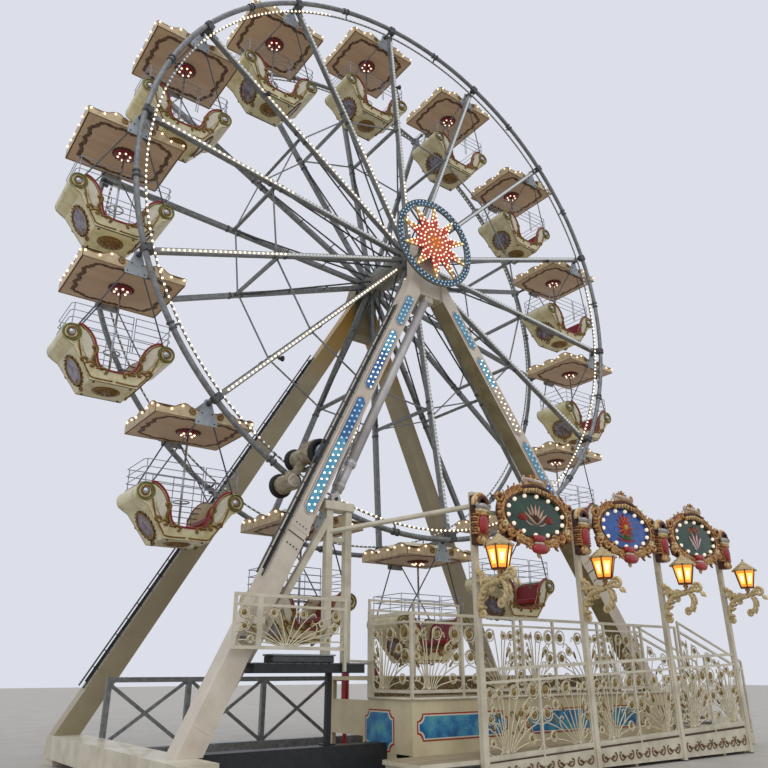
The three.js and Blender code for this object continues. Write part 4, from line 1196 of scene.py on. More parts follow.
def addStrip(shape, line, top, low, head, foot, lit):
    start = line.at(low)
    length = (line.at(top) - start).length

    def plateAt(lift):
        return lambda u, v: start + line.along * u + line.across * v + line.out * lift

    for half, lift, paint in ((0.13, 0.003, "redLine"), (0.121, 0.005, "stripWhite"),
            (0.112, 0.007, "legFront"), (0.1, 0.009, "stripEdge"), (0.092, 0.011, head)):
        outline = [(u + (0.13 - half), v) for u, v in steppedStrip(length - 2 * (0.13 - half), half)]
        addPlate(shape, outline, plateAt(lift), plateAt(-0.004), paint)
    if foot != head:
        outline = [(u + 0.04, v) for u, v in steppedStrip(length * 0.6, 0.09)]
        addPlate(shape, outline, plateAt(0.0125), plateAt(-0.004), foot)
    count = int((length - 0.2) / legs["pitch"])
    for k in range(count + 1):
        for row, across in enumerate(legs["rows"]):
            u = 0.1 + legs["pitch"] * (k + 0.5 * row)
            if u > length - 0.07:
                continue
            # unlit bulbs take the pale blue glow of a painted sky reflection
            bulb = "bulbWhite" if u < lit * length else "bulbSkyReflection"
            addBulb(shape, start + line.along * u + line.across * across + line.out * 0.012, line.out, bulb,
                legs["bulb"] if bulb == "bulbWhite" else legs["bulb"] * 1.15, 6)


def addLadder(shape, line):
    # cable ladder held off the outer side of a leg
    side = line.side * (1 if line.across.x > 0 else -1)
    edge = line.sizes["width"] / 2
    top, low = line.sizes["ladder"]
    near, rung = edge + legs["ladderGap"], legs["rung"]
    far = near + legs["ladderWide"]
    for u in (near, far):
        addBar(shape, line.at(top, side * u, -0.1), line.at(low, side * u, -0.1), 0.03, 0.025, "agedSteel",
            0.003, line.out)
    for k in range(int((top - low) / rung)):
        z = top - rung * (k + 0.5)
        addBar(shape, line.at(z, side * edge, -0.1), line.at(z, side * far, -0.1), 0.018, 0.018,
            "agedSteel", 0, line.along)
    cable = side * (near + 0.4 * legs["ladderWide"])
    addRod(shape, [line.at(z, cable, -0.08) for z in (top - 0.1, low + 0.1)], 0.022, "blackPaint", 6)


def addSplice(shape, line):
    # bolted splice: a plate across the front with a dark seam below it, and a long cover plate
    half = line.sizes["width"] / 2
    for z in legs["bolts"]:
        for u in (-0.6, -0.2, 0.2, 0.6):
            addBolt(shape, line.at(z, u * half), line.out, 0.014, 0.012)
    for (low, top), lift, wide, thick, paint, chamfer in ((legs["splice"], 0.0, 2 * half + 0.03, 0.012,
            "legFront", 0.003), (legs["seam"], -0.001, 2 * half + 0.01, 0.006, "blackPaint", 0),
            (legs["cover"], 0.0, 1.5 * half, 0.008, "legFront", 0.002)):
        addBar(shape, line.at(low, 0, lift), line.at(top, 0, lift), wide, thick, paint, chamfer, line.out)


def buildLegs():
    for kind in ("front", "rear"):
        for side in (-1, 1):
            shape = Shape()
            line = LegLine(kind, side)
            paint, inside = line.sizes["paint"], line.sizes["inside"]
            # on the front legs the front and outer faces take the painted sunlit copy, the back and inner
            # faces the painted shaded copy
            paints = [paint, inside, inside, inside]
            paints[1 if line.across.x * side > 0 else 3] = paint
            addBeam(shape, line, paints)
            if kind == "front":
                for strip in legs[side]:
                    addStrip(shape, line, *strip)
                addSplice(shape, line)
            if side < 0:
                addLadder(shape, line)
            word = "Left" if side < 0 else "Right"
            build(kind + "Leg" + word, shape, "base", "cream_paint", ("leg_" + kind + "_" + word.lower(),))


def litEnamel():
    tree, shader, where = newMaterial("legRear")
    # cream enamel of the rear legs: dull olive below, and painted lamp light that turns it warm gold near
    # the hub
    apart = addNode(tree, "ShaderNodeSeparateXYZ", links={"Vector": where})
    height = addNode(tree, "ShaderNodeMapRange", {"From Min": 8.2, "From Max": 10.2},
        {"Value": apart.outputs[2]})
    patches = mottle(tree, where, 420)
    share = addNode(tree, "ShaderNodeMath", {"operation": "MULTIPLY_ADD", 1: 0.16}, {0: patches})
    tree.links.new(height.outputs[0], share.inputs[2])
    tree.links.new(blendColours(tree, share.outputs[0], [(0.0, "#8f8362"), (0.12, "#a3977a"),
        (0.5, "#ab9260"), (1.0, "#c0954a")]), shader.inputs["Base Color"])
    shader.inputs["Roughness"].default_value = 0.45
    shader.inputs["Coat Weight"].default_value = 0.1


# clear bulbs at full light
glow("bulbWhite", "#fff6ea", 1.6)
litEnamel()
# enamel of the front legs as a painted sunlit copy: pinkish cream, lighter for the faces that the light
# falls on
surface("legFront", ("#bfb3a0", "#ccc1ae", "#d6ccba"), 420, (0.34, 0.52), coat=0.15, bumpMm=0.25,
    grainMm=14, places=(0.3, 0.55, 0.8))
# the same enamel as a painted shaded copy for the beams' shaded sides: olive brown with rain marks
surface("legInside", ("#6f6342", "#8a7d58", "#9c906c"), 380, (0.4, 0.55), bumpMm=0.25, grainMm=14,
    places=(0.3, 0.55, 0.8))
# airbrushed strips under the bulbs, from deep blue to sea green and tan
surface("stripDeep", ("#1c4f86", "#2c6ea6", "#3f8fae"), 260, (0.3, 0.45), coat=0.2)
surface("stripSea", ("#3a8aae", "#5ba4be", "#82bac8"), 240, (0.3, 0.45), coat=0.2, places=(0.3, 0.55, 0.8))
surface("stripSky", ("#2f6d92", "#5b93a8", "#86a9ab"), 200, (0.3, 0.45), coat=0.2, places=(0.3, 0.55, 0.8))
surface("stripTan", ("#9a8c72", "#b3a68c", "#6fa1a0"), 260, (0.35, 0.5), coat=0.2)
# brown painted line round the airbrushed strips
surface("stripEdge", ("#5a4a38", "#7a6850"), 60, (0.4, 0.5))
buildLegs()
print("legs lined")

# Lift strut and drive: the telescopic tube beside the left leg, and two motors that pinch the rim

strut = {"top": (0.01, -1.67, 9.87), "foot": (-2.97, -2.39, 4.4), "joint": 0.845, "radius": (0.1, 0.08)}


def onStrut(share):
    return Vector(strut["top"]).lerp(Vector(strut["foot"]), share)


def buildStrut():
    shape = Shape()
    upper, lower = strut["radius"]
    end = onStrut(strut["joint"])
    along = (onStrut(1) - onStrut(0)).normalized()
    addRod(shape, [onStrut(0.006), end], upper, "satinSteel", 22)
    addRod(shape, [end, onStrut(0.955)], lower, "satinSteel", 20)
    for share, radius, length in ((0.004, 0.11, 0.16), (0.84, 0.108, 0.09), (0.852, 0.09, 0.05),
            (0.93, 0.09, 0.06)):
        addTurned(shape, [(0, 0), (radius, 0), (radius + 0.006, 0.02), (radius, length), (0, length)],
            onStrut(share), along, "satinSteel", 20, False)
    # forked ends with their pins
    for centre, wide in ((onStrut(0.985), 0.05), (onStrut(0.012), 0.06)):
        for y in (-0.07, 0.05):
            addTurned(shape, [(0, 0), (wide + 0.05, 0), (wide + 0.05, 0.02), (0, 0.02)],
                centre + Vector((0, y, 0)), (0, 1, 0), "satinSteel", 16, False)
        addTurned(shape, [(0, 0), (0.03, 0), (0.03, 0.2), (0, 0.2)], centre + Vector((0, -0.1, 0)),
            (0, 1, 0), "blackPaint", 12, False)
    addRod(shape, [onStrut(0.955), onStrut(0.99)], 0.06, "satinSteel", 12)
    # slim sensor tube beside the lower stage
    offset = Vector((-0.13, 0.02, 0.02))
    addRod(shape, [onStrut(0.72) + offset, onStrut(0.94) + offset], 0.022, "brightSteel", 8)
    for share in (0.72, 0.83, 0.935):
        addBar(shape, onStrut(share) + offset, onStrut(share), 0.03, 0.02, "agedSteel")
    addSlab(shape, (-0.13, -1.79, 9.7), (0.11, -1.56, 9.8497), "creamEnamel", 0.01)
    build("liftStrut", shape, "base", "cream_paint", ("lift_strut",))


buildStrut()

post = {"columns": (-3.11, -2.715), "y": -2.5, "half": 0.065, "legX": -3.03, "leg": 0.045, "foot": 0.5003,
    "under": 1.56, "floor": 1.71, "cap": ((-3.22, -2.6, 4.25), (-2.62, -2.29, 4.4)),
    "crossings": (2.7, 3.7), "brace": (-3.09, 4.13, -5.2586, 0.535), "left": -4.64, "right": -2.64,
    "front": -2.98, "back": -2.2, "joists": 6}


def buildStrutPosts():
    shape = Shape()
    y, half, leg = post["y"], post["half"], post["leg"]
    for x in post["columns"]:
        addSlab(shape, (x - half, y - half, post["floor"]), (x + half, y + half, post["cap"][0][2]),
            "creamEnamel", 0.008)
    addSlab(shape, *post["cap"], "creamEnamel", 0.01)
    left, right = post["columns"]
    for z in post["crossings"]:
        addSlab(shape, (left + half, y - 0.035, z), (right - half, y + 0.035, z + 0.08), "creamEnamel",
            0.006)
    x = post["legX"]
    addSlab(shape, (x - leg, y - leg, post["foot"]), (x + leg, y + leg, post["under"]), "blackPaint", 0.006)
    addSlab(shape, (x - 0.1, y - 0.1, post["foot"]), (x + 0.1, y + 0.1, post["foot"] + 0.02), "blackPaint",
        0.004)
    topX, topZ, footX, footZ = post["brace"]
    addBar(shape, (topX, y, topZ), (footX, y, footZ), 0.11, 0.12, "creamEnamel", 0.008, (0, 1, 0))
    addSlab(shape, (footX - 0.12, y - 0.09, post["foot"]), (footX + 0.1, y + 0.09, post["foot"] + 0.03),
        "creamEnamel", 0.006)
    # dark platform under the left fence: two channels, joists and boards
    under, floor = post["under"], post["floor"]
    for edge, inner in ((post["front"], 0.06), (post["back"], -0.06)):
        near, far = sorted((edge, edge + inner))
        addSlab(shape, (post["left"], near, under), (post["right"], far, floor - 0.02), "blackPaint", 0.006)
    step = (post["right"] - post["left"] - 0.06) / (post["joists"] - 1)
    for k in range(post["joists"]):
        x = post["left"] + k * step
        addSlab(shape, (x, post["front"] + 0.06, under + 0.02),
            (x + 0.06, post["back"] - 0.06, floor - 0.02), "blackPaint", 0.005)
    grow(shape, "block", [[(post["left"], y - 0.09, floor - 0.012),
        (post["right"], y - 0.09, floor - 0.012)]], "agedSteel", Spacing=0.143, Block=(0.135, 0.78, 0.02))
    # shallow switch box on the boards with a grey lid
    addSlab(shape, (-4.3, -2.93, floor), (-3.2, -2.62, floor + 0.1), "agedSteel", 0.012)
    addSlab(shape, (-4.32, -2.95, floor + 0.1), (-3.18, -2.61, floor + 0.125), "hangerGrey", 0.008)
    build("strutPosts", shape, "base", "cream_paint", ("strut_posts",))


buildStrutPosts()

drive = {"face": -1.5005, "tyre": 0.23, "wide": 0.045, "hubBolts": 0.085, "lengths": (0.6, 0.45),
    "ribs": 0.152}


def buildDrive():
    places = {}
    for joint in frame["joints"]:
        if joint["name"].startswith("drive_tyre"):
            places[joint["child"]] = Vector(joint["pos_m"]) - ground
    for body, centre in places.items():
        shape = Shape()
        radius, wide = drive["tyre"], drive["wide"]
        tread = [(0.18, -wide), (radius - 0.03, -wide), (radius, -wide + 0.015), (radius, wide - 0.015),
            (radius - 0.03, wide), (0.18, wide)]
        addTurned(shape, tread, centre, (0, 1, 0), "tyreRubber", 36)
        addTurned(shape, [(0, -wide - 0.015), (0.05, -wide - 0.015), (0.06, -wide + 0.012),
            (0.16, -wide + 0.014), (0.182, -wide + 0.002), (0.182, wide - 0.006), (0.12, wide - 0.015),
            (0, wide - 0.012)], centre, (0, 1, 0), "motorCream", 28)
        for turn in around(5):
            x, z = polar(drive["hubBolts"], turn)
            addBolt(shape, centre + Vector((x, -wide + 0.012, z)), (0, -1, 0), 0.013, 0.014)
        build(body.replace("drive_tyre_", "driveTyre"), shape, body, "tyre_rubber", (body,))
    shape = Shape()
    upper, lower = places["drive_tyre_inner"], places["drive_tyre_outer"]
    for centre, length in zip((upper, lower), drive["lengths"]):
        front = Vector((centre.x, drive["face"], centre.z))
        addTurned(shape, [(0, 0.0), (0.16, 0.0), (0.176, 0.012), (0.176, 0.14), (0.166, 0.155),
            (0.166, 0.21), (0.15, 0.225), (0.15, length - 0.12), (0.164, length - 0.1),
            (0.164, length - 0.03), (0.156, length), (0, length)], front, (0, -1, 0), "motorCream", 32,
            False)
        addTurned(shape, [(0, 0), (0.125, 0), (0.13, 0.008), (0.118, 0.016), (0.05, 0.016), (0.045, 0.03),
            (0, 0.03)], front + Vector((0, -length, 0)), (0, -1, 0), "motorPale", 28, False)
        for k in range(9):  # cooling ribs
            turn = pi * (k - 4) / 9 + pi / 2
            x, z = polar(drive["ribs"], turn)
            rib = Vector((x, 0, z))
            addBar(shape, front + rib + Vector((0, -0.24, 0)), front + rib + Vector((0, 0.14 - length, 0)),
                0.01, 0.02, "motorCream")
        addSlab(shape, front + Vector((-0.07, -0.36, 0.13)), front + Vector((0.07, -0.2, 0.21)),
            "motorCream", 0.012)
    # open drum guard in front of the upper motor with its bright bearing cap
    front = Vector((upper.x + 0.13, -2.1, upper.z + 0.02))
    addTurned(shape, [(0.14, 0), (0.25, 0), (0.265, 0.015), (0.268, 0.09), (0.255, 0.105), (0.2, 0.105),
        (0.19, 0.05), (0.12, 0.045), (0.12, 0.0)], front, (0, -1, 0), "tyreRubber", 36)
    addTurned(shape, [(0, 0), (0.15, 0), (0.152, 0.15), (0.14, 0.175), (0.118, 0.18), (0.105, 0.168),
        (0, 0.168)], front, (0, -1, 0), "capSilver", 32)
    addTurned(shape, [(0, 0), (0.19, 0), (0.19, 0.25), (0.14, 0.3), (0, 0.3)], front, (0, 1, 0),
        "blackPaint", 28, False)
    addBar(shape, upper + Vector((-0.02, -0.3, 0.2)), front + Vector((-0.02, 0.04, 0.24)), 0.13, 0.09,
        "motorCream", 0.01, (0, 0, 1))
    middle = (upper + lower) / 2
    for y in (-1.84, -1.77):
        addBar(shape, (upper.x, y, upper.z), (lower.x, y, lower.z), 0.15, 0.02, "motorCream", 0.004,
            (0, 1, 0))
    for y, z in ((-1.8, 0.0), (-1.92, 0.1)):
        addBar(shape, (upper.x + 0.05, y, upper.z + z), (upper.x + 0.28, y - 0.16, upper.z + z + 0.04),
            0.12, 0.1, "agedSteel", 0.008, (0, 1, 0))
    addRod(shape, [middle + Vector((0.05, -0.32, 0)), middle + Vector((0.2, -0.3, 0.03)),
        middle + Vector((0.33, -0.42, 0.12))], 0.045, "motorCream", 12)
    for lift in (0.0, 0.05):
        loop = [(0.02, -0.62 + lift, 0.1), (0.02, -0.7, 0.0), (0.1, -0.68, -0.16), (0.25, -0.62, -0.1)]
        addRod(shape, smoothPath([tuple(lower + Vector(point)) for point in loop], 4), 0.012, "blackPaint",
            6)
    build("driveUnit", shape, "base", "dark_steel", ("drive_frame",))


# dirty cream castings of the motors, oil stained
surface("motorCream", ("#6b624a", "#9a9078", "#bdb39a"), 90, (0.4, 0.6), bumpMm=0.4, grainMm=12,
    places=(0.25, 0.5, 0.8))
# end covers of the motors, lighter, with a rusty stain
surface("motorPale", ("#8a6a48", "#b5ab95", "#cbc4b2"), 70, (0.4, 0.6), bumpMm=0.3, grainMm=12,
    places=(0.25, 0.42, 0.7))
# turned alloy bearing cap
surface("capSilver", ("#8f9aa6", "#b4bfca"), 60, (0.25, 0.4), metallic=0.6)
buildDrive()
print("strut and drive fitted")

# Facade: shields, totems and lanterns on the four front posts

facade = {"y": -4.37, "shieldFront": -4.62, "field": (0.78, 0.41), "pearls": 14, "pearl": 0.039,
    "half": 0.05, "tops": (4.45, 4.48, 4.525, 4.57), "posts": ({"x": -1.387, "totem": 3.53,
    "lantern": 3.28}, {"x": 1.25, "totem": 3.60, "lantern": 3.31},
    {"x": 3.80, "totem": 3.67, "lantern": 3.38}, {"x": 6.18, "totem": 3.71, "lantern": 3.45}),
    "shieldZ": (4.16, 4.205, 4.26)}


def onFacade(cx, y):
    return lambda u, v, lift=0.0: Vector((cx + u, y - lift, v))


def flatRod(shape, at, path, radius, finish, sides=6, lift=0.0, closed=False, flat=1.0):
    addRod(shape, onto(at, path, lift), radius, finish, sides, closed, flat, (0, 1, 0))


def addScroll(shape, at, start, heading, length, bends, thick, finish, lift=0.0, steps=22, mirror=False):
    path = curlPath(start, heading, length, bends, steps)
    radii = tapered(len(path), thick, thick * 0.4)
    for sign in ((1, -1) if mirror else (1,)):
        flatRod(shape, at, scaled(sign, path), radii, finish, 6, lift)


def addLeaf(shape, at, start, heading, length, width, finish, lift=0.0, bend=0.0, mirror=False):
    # a carved leaf: a pointed lobe with a raised rib, bent along its length
    steps = 7
    spine = curlPath(start, heading, length, (bend, bend), steps)
    for sign in ((1, -1) if mirror else (1,)):
        points = []
        for i, (u, v) in enumerate(spine):
            share = i / steps
            half = width * sin(pi * (0.12 + 0.88 * share)) ** 0.8
            turn = radians(heading + bend * length * share + 90)
            rise = 0.02 + 0.5 * half
            for offset, high in ((-1, 0.0), (0, rise), (1, 0.0)):
                du, dv = polar(offset * half, turn)
                points.append(at(sign * (u + du), v + dv, lift + high))
        rows = len(spine)
        points += [at(sign * u, v, lift - 0.012) for u, v in spine]
        faces = []
        for i in range(rows - 1):
            a, b = 3 * i, 3 * i + 3
            c, d = 3 * rows + i, 3 * rows + i + 1
            faces += [[a, a + 1, b + 1, b], [a + 1, a + 2, b + 2, b + 1], [a, b, d, c],
                [b + 2, a + 2, c, d]]
        last = 3 * rows - 3
        faces += [[0, 3 * rows, 2, 1], [last, last + 1, last + 2, 4 * rows - 1]]
        shape.add(points, faces, finish, True)


def ovalPath(a, b, z, steps):
    return [(a * cos(t), z + b * sin(t)) for t in around(steps)]


def addDome(shape, at, a, b, z, lift, rise, finish):
    rings, steps = 5, 40
    points = [at(0, z, lift + rise)]
    for ring in range(1, rings + 1):
        reach = ring / rings
        points += [at(u, v, lift + rise * (1 - reach ** 2)) for u, v in ovalPath(a * reach, b * reach, z,
            steps)]
    faces = [[0, 1 + k, 1 + (k + 1) % steps] for k in range(steps)]
    for ring in range(rings - 1):
        one, two = 1 + steps * ring, 1 + steps * (ring + 1)
        faces += [[one + k, one + (k + 1) % steps, two + (k + 1) % steps, two + k] for k in range(steps)]
    shape.add(points, faces, finish, True)


def addPetals(shape, at, centre, reach, count, width, finish, lift, start=90, sweep=360):
    for k in range(count):
        heading = start + sweep * (k / count if sweep == 360 else k / (count - 1) - 0.5)
        addLeaf(shape, at, centre, heading, reach, width, finish, lift)


def addMotif(shape, at, kind, z):
    # brush ornament of the oval fields: a palm leaf fan, a flower or a striped fan
    lift = 0.02
    if kind == "palmette":
        addPetals(shape, at, (0, z - 0.16), 0.37, 7, 0.036, "blushBrush", lift, 90, 110)
        addPetals(shape, at, (0, z - 0.14), 0.2, 5, 0.03, "leafBrown", lift + 0.012, 90, 90)
        for sign in (-1, 1):
            addPetals(shape, at, (sign * 0.33, z - 0.1), 0.13, 5, 0.026, "redLine", lift, 90, 150)
            flatRod(shape, at, curlPath((sign * 0.03, z - 0.17), 90 - sign * 95, 0.42,
                (sign * 60, sign * 300, sign * 900), 14), tapered(15, 0.016, 0.006), "blushBrush", 5, lift,
                False, 0.5)
    elif kind == "flower":
        addPetals(shape, at, (0, z + 0.03), 0.27, 12, 0.045, "orangeBrush", lift)
        addPetals(shape, at, (0, z + 0.03), 0.17, 12, 0.028, "redLine", lift + 0.012, 105)
        addTurned(shape, [(0, 0), (0.07, 0), (0.06, 0.02), (0, 0.03)], at(0, z + 0.03, lift + 0.02),
            (0, -1, 0), "yellowBrush", 14)
        addPetals(shape, at, (0, z - 0.2), 0.27, 4, 0.035, "greenBrush", lift, 90, 150)
        flatRod(shape, at, [(-0.28, z - 0.2), (-0.12, z - 0.24), (0.12, z - 0.24), (0.28, z - 0.2)], 0.022,
            "redLine", 5, lift, False, 0.5)
    else:
        for k in range(7):
            addLeaf(shape, at, (0, z - 0.25), 90 + 13 * (k - 3), 0.36, 0.036,
                "redLine" if k % 2 else "stripWhite", lift)
        for sign in (-1, 1):
            flatRod(shape, at, spiralPath((sign * 0.12, z + 0.16), 0.08, 0.02, 90, -sign * 1.2, 16),
                tapered(17, 0.024, 0.012), "carvedBrown", 6, lift, False, 0.6)
        addPetals(shape, at, (0, z + 0.12), 0.15, 3, 0.032, "carvedBrown", lift, 90, 60)


def buildShield(number, cx, z, field, motif):
    shape = Shape()
    at = onFacade(cx, facade["shieldFront"] + 0.045)
    a, b = facade["field"]
    # a dark sheet of painted shade behind the oval and its frame
    addSheet(shape, at, ovalPath(a + 0.13, b + 0.13, z, 48), -0.02, -0.07, "carvedShade")
    addDome(shape, at, a, b, z, 0.0, 0.03, field)
    # frame: a moulded ring, two dark lines of painted shade and carved leaves that lap over it
    flatRod(shape, at, ovalPath(a + 0.045, b + 0.04, z, 56), 0.042, "goldLeaf", 8, 0.01, True)
    flatRod(shape, at, ovalPath(a, b, z, 56), 0.014, "carvedShade", 6, 0.045, True)
    flatRod(shape, at, ovalPath(a + 0.09, b + 0.085, z, 56), 0.022, "carvedShade", 6, 0.0, True)
    for k, t in enumerate(around(30, 0.5)):
        side = 1 if cos(t) > 0 else -1
        addLeaf(shape, at, ((a + 0.07) * cos(t), z + (b + 0.07) * sin(t)), degrees(t) + 62 * side, 0.15,
            0.03, "goldLeaf" if k % 3 else "carvedCream", 0.01, -300 * side)
    for t in around(facade["pearls"], 0.35):
        addBulb(shape, at((a - 0.07) * cos(t), z + (b - 0.06) * sin(t), 0.012), (0, -1, 0), "bulbFrosted",
            facade["pearl"], 12)
    addMotif(shape, at, motif, z)
    # crest: ribbed collar, roll with curled ends, and a leafy crown
    top = z + b + 0.05
    for lift, reach, high, paint in ((0.05, 0.4, 0.0, "goldLeaf"), (0.075, 0.34, 0.05, "carvedShade"),
            (0.06, 0.28, 0.1, "goldLeaf")):
        arc = [(reach * sin(t), top - 0.075 + high + 0.09 * cos(t))
            for t in [radians(-80 + 160 * k / 14) for k in range(15)]]
        flatRod(shape, at, arc, 0.036, paint, 6, lift)
    for k in range(-7, 8):
        addRod(shape, [at(0.05 * k, top - 0.05 - abs(k) * 0.007, 0.085),
            at(0.045 * k, top + 0.035 - abs(k) * 0.008, 0.1)], 0.017,
            "goldLeaf" if k % 2 else "carvedCream", 5)
    addRod(shape, [at(-0.24, top + 0.175, 0.06), at(-0.12, top + 0.165, 0.08), at(0.12, top + 0.15, 0.08),
        at(0.25, top + 0.13, 0.06)], [0.03, 0.04, 0.04, 0.028], "rollPale", 9)
    for end in (-1, 1):
        flatRod(shape, at, spiralPath((end * 0.25, top + 0.152), 0.075, 0.014, 90, -end * 1.5, 20),
            tapered(21, 0.022, 0.012), "rollPale" if end < 0 else "goldLeaf", 6, 0.06)
    for k in range(-4, 5):
        addLeaf(shape, at, (0.045 * k, top + 0.19 - 0.006 * k * k), 90 - 15 * k, 0.12 - 0.01 * abs(k),
            0.034, "goldLeaf" if k % 2 else "carvedBrown", 0.03, -90 * k)
    for sign in (-1, 1):
        # shoulders: lapped leaves down to a knob volute, and beads down the side
        for u, v, heading in ((0.3, 0.49, -18), (0.45, 0.45, -26), (0.59, 0.38, -40), (0.71, 0.29, -52)):
            for shift, paint in ((0.0, "goldLeaf"), (0.03, "carvedBrown")):
                addLeaf(shape, at, (sign * (u + shift), z + v + shift * 0.6),
                    heading if sign > 0 else 180 - heading, 0.19, 0.042, paint, 0.02 - shift * 0.3,
                    -sign * 150)
        centre = (sign * (a + 0.13), z + 0.24)
        flatRod(shape, at, spiralPath(centre, 0.095, 0.018, 60 if sign < 0 else 120, sign * 1.4, 22),
            tapered(23, 0.034, 0.014), "goldLeaf", 7, 0.03)
        addTurned(shape, [(0, 0), (0.04, 0.0), (0.045, 0.03), (0.02, 0.05), (0, 0.055)], at(*centre, 0.03),
            (0, -1, 0), "carvedShade", 10)
        for k in range(5):
            addTurned(shape, [(0, 0), (0.035, 0.005), (0.045, 0.035), (0.03, 0.06), (0, 0.07)],
                at(sign * (a + 0.12 + 0.02 * sin(k)), z + 0.1 - 0.075 * k, -0.01), (0, -1, 0),
                "carvedBrown" if k % 2 else "goldLeaf", 8)
    # double row of S scrolls under the oval, with a dark sheet of painted shade in the hollows between them
    low = z - b - 0.04
    addSheet(shape, at, [(-0.9, low + 0.22), (-0.84, low + 0.04), (-0.5, low - 0.05), (0.5, low - 0.05),
        (0.84, low + 0.04), (0.9, low + 0.22), (0.4, low + 0.03), (-0.4, low + 0.03)], -0.02, -0.06,
        "carvedShade")
    for start, heading, length, bends, thick, paint in (((0.10, low + 0.03), -40, 0.58,
            (250, 300, 150, -300, -1200, -2000), 0.036, "goldLeaf"),
            ((0.18, low - 0.05), 5, 0.6, (-200, 150, 350, 1000, 2000), 0.034, "goldLeaf"),
            ((0.50, low + 0.12), -60, 0.5, (150, 400, 800, 1500, 2200), 0.034, "goldLeaf"),
            ((0.72, low + 0.22), -50, 0.42, (-200, 400, 1100, 2000), 0.032, "goldLeaf"),
            ((0.62, low + 0.0), 30, 0.44, (200, 500, 1200, 2100), 0.03, "carvedBrown"),
            ((0.86, low + 0.3), -80, 0.3, (-300, -1100, -2200), 0.028, "carvedCream"),
            ((0.4, low - 0.07), 160, 0.34, (-400, -1100, -2200), 0.026, "carvedCream")):
        addScroll(shape, at, start, heading, length, bends, thick, paint, 0.03, 20, True)
    for u, v, heading, length in ((0.24, low, -90, 0.16), (0.42, low, -70, 0.18),
            (0.6, low + 0.04, -50, 0.18), (0.78, low + 0.1, -30, 0.17), (0.32, low + 0.06, -20, 0.22)):
        addLeaf(shape, at, (u, v), heading, length, 0.035, "carvedBrown", 0.015, 200, True)
    # rail between the posts and two stand offs that carry the shield
    addSlab(shape, (cx - 1.2, facade["y"] - 0.03, z - 0.04), (cx + 1.2, facade["y"] + 0.03, z + 0.02),
        "creamEnamel", 0.004)
    for sign in (-1, 1):
        addSlab(shape, (cx + sign * 0.5 - 0.03, facade["shieldFront"] + 0.1, z - 0.035),
            (cx + sign * 0.5 + 0.03, facade["y"], z + 0.015), "agedSteel")
    # red drop tied by a pale band
    for half, top_, foot, deep, paint, across, power in ((0.15, 0.1, -0.03, 0.11, "redEnamel", 8, 2.8),
            (0.12, -0.02, -0.08, 0.1, "rollPale", 6, 3), (0.19, -0.06, -0.23, 0.13, "redEnamel", 8, 2.6)):
        addCushion(shape, at(-half, low + foot, 0.01 + deep), at(half, low + top_, 0.0), paint, across,
            power)
    for sign in (-1, 1):
        flatRod(shape, at, spiralPath((sign * 0.22, low - 0.1), 0.07, 0.014, 90, sign * 1.3, 18),
            tapered(19, 0.022, 0.01), "goldLeaf", 6, 0.05)
    addLeaf(shape, at, (0, low - 0.2), -90, 0.1, 0.06, "carvedCream", 0.03)
    build("shield" + str(number), shape, "base", "gold_paint", ("shield_" + str(number),))


totem = {"front": -4.55, "back": -4.41, "oval": (0.1, 0.165), "ovalZ": 0.33}


def buildTotem(number, x, foot):
    shape = Shape()
    at = onFacade(x, totem["front"] - 0.01)
    half = facade["half"]
    addSlab(shape, (x - half, facade["y"] - half, 0.012), (x + half, facade["y"] + half,
        facade["tops"][number - 1]), "creamEnamel", 0.006)
    addSlab(shape, (x - half, facade["y"] - half, 0.0), (x + half, facade["y"] + half, 0.016), "agedSteel")
    # the block behind the carving is dark with painted shade
    addSlab(shape, (x - 0.12, totem["front"], foot), (x + 0.12, totem["back"], foot + 0.84), "carvedShade",
        0.02)
    # top: a cream hood that curls forward over a throat darkened with painted shade
    for lift, reach, paint in ((0.0, 0.155, "carvedCream"), (0.03, 0.13, "goldLeaf"),
            (0.05, 0.1, "carvedShade")):
        arc = [(reach * cos(t), foot + 0.69 + reach * sin(t)) for t in [radians(-15 + 210 * k / 16)
            for k in range(17)]]
        flatRod(shape, at, arc, 0.04, paint, 8, lift)
    # silver roll with its spiral ends over two bands
    for u, v, radius, paint in ((0.12, 0.64, 0.055, "rollSilver"), (0.14, 0.565, 0.038, "carvedCream"),
            (0.15, 0.51, 0.035, "goldLeaf")):
        addRod(shape, [at(-u, foot + v, 0.04), at(0, foot + v - 0.01, 0.07), at(u, foot + v, 0.04)],
            [radius * 0.8, radius, radius * 0.8], paint, 9)
    for u in (-0.12, 0.13):
        flatRod(shape, at, spiralPath((u, foot + 0.64), 0.06, 0.012, 90, 1.5 if u > 0 else -1.5, 18),
            tapered(19, 0.018, 0.01), "rollSilver", 6, 0.07)
    # red oval between ribbed sides
    a, b = totem["oval"]
    centre = foot + totem["ovalZ"]
    addCushion(shape, at(-a, centre - b, 0.11), at(a, centre + b, 0.0), "redEnamel", 10, 2.2)
    flatRod(shape, at, ovalPath(a + 0.015, b + 0.015, centre, 26), 0.024, "goldLeaf", 6, 0.03, True)
    for k in range(8):
        v = centre - b + 0.045 * k
        for sign in (-1, 1):
            addRod(shape, [at(sign * 0.125, v, 0.045), at(sign * 0.165, v + 0.008, 0.02),
                at(sign * 0.17, v + 0.01, -0.06)], 0.019, "carvedBrown" if k % 2 else "goldLeaf", 6)
    # lower cluster of scrolls and leaves
    for start, heading, length, bends, paint in (((0.02, 0.17), -20, 0.34, (-200, -700, -1800, -2900),
            "goldLeaf"), ((0.03, 0.1), 10, 0.3, (300, 900, 2000, 3000), "carvedBrown"),
            ((0.01, 0.06), -50, 0.24, (300, 1000, 2200, 3200), "goldLeaf")):
        addScroll(shape, at, (start[0], foot + start[1]), heading, length, bends, 0.03, paint, 0.03, 18,
            True)
    for heading in (-90, -60, -120):
        addLeaf(shape, at, (0, foot + 0.13), heading, 0.15, 0.045, "carvedCream", 0.03)
    build("totem" + str(number), shape, "base", "cream_paint", ("facade_post_" + str(number),))


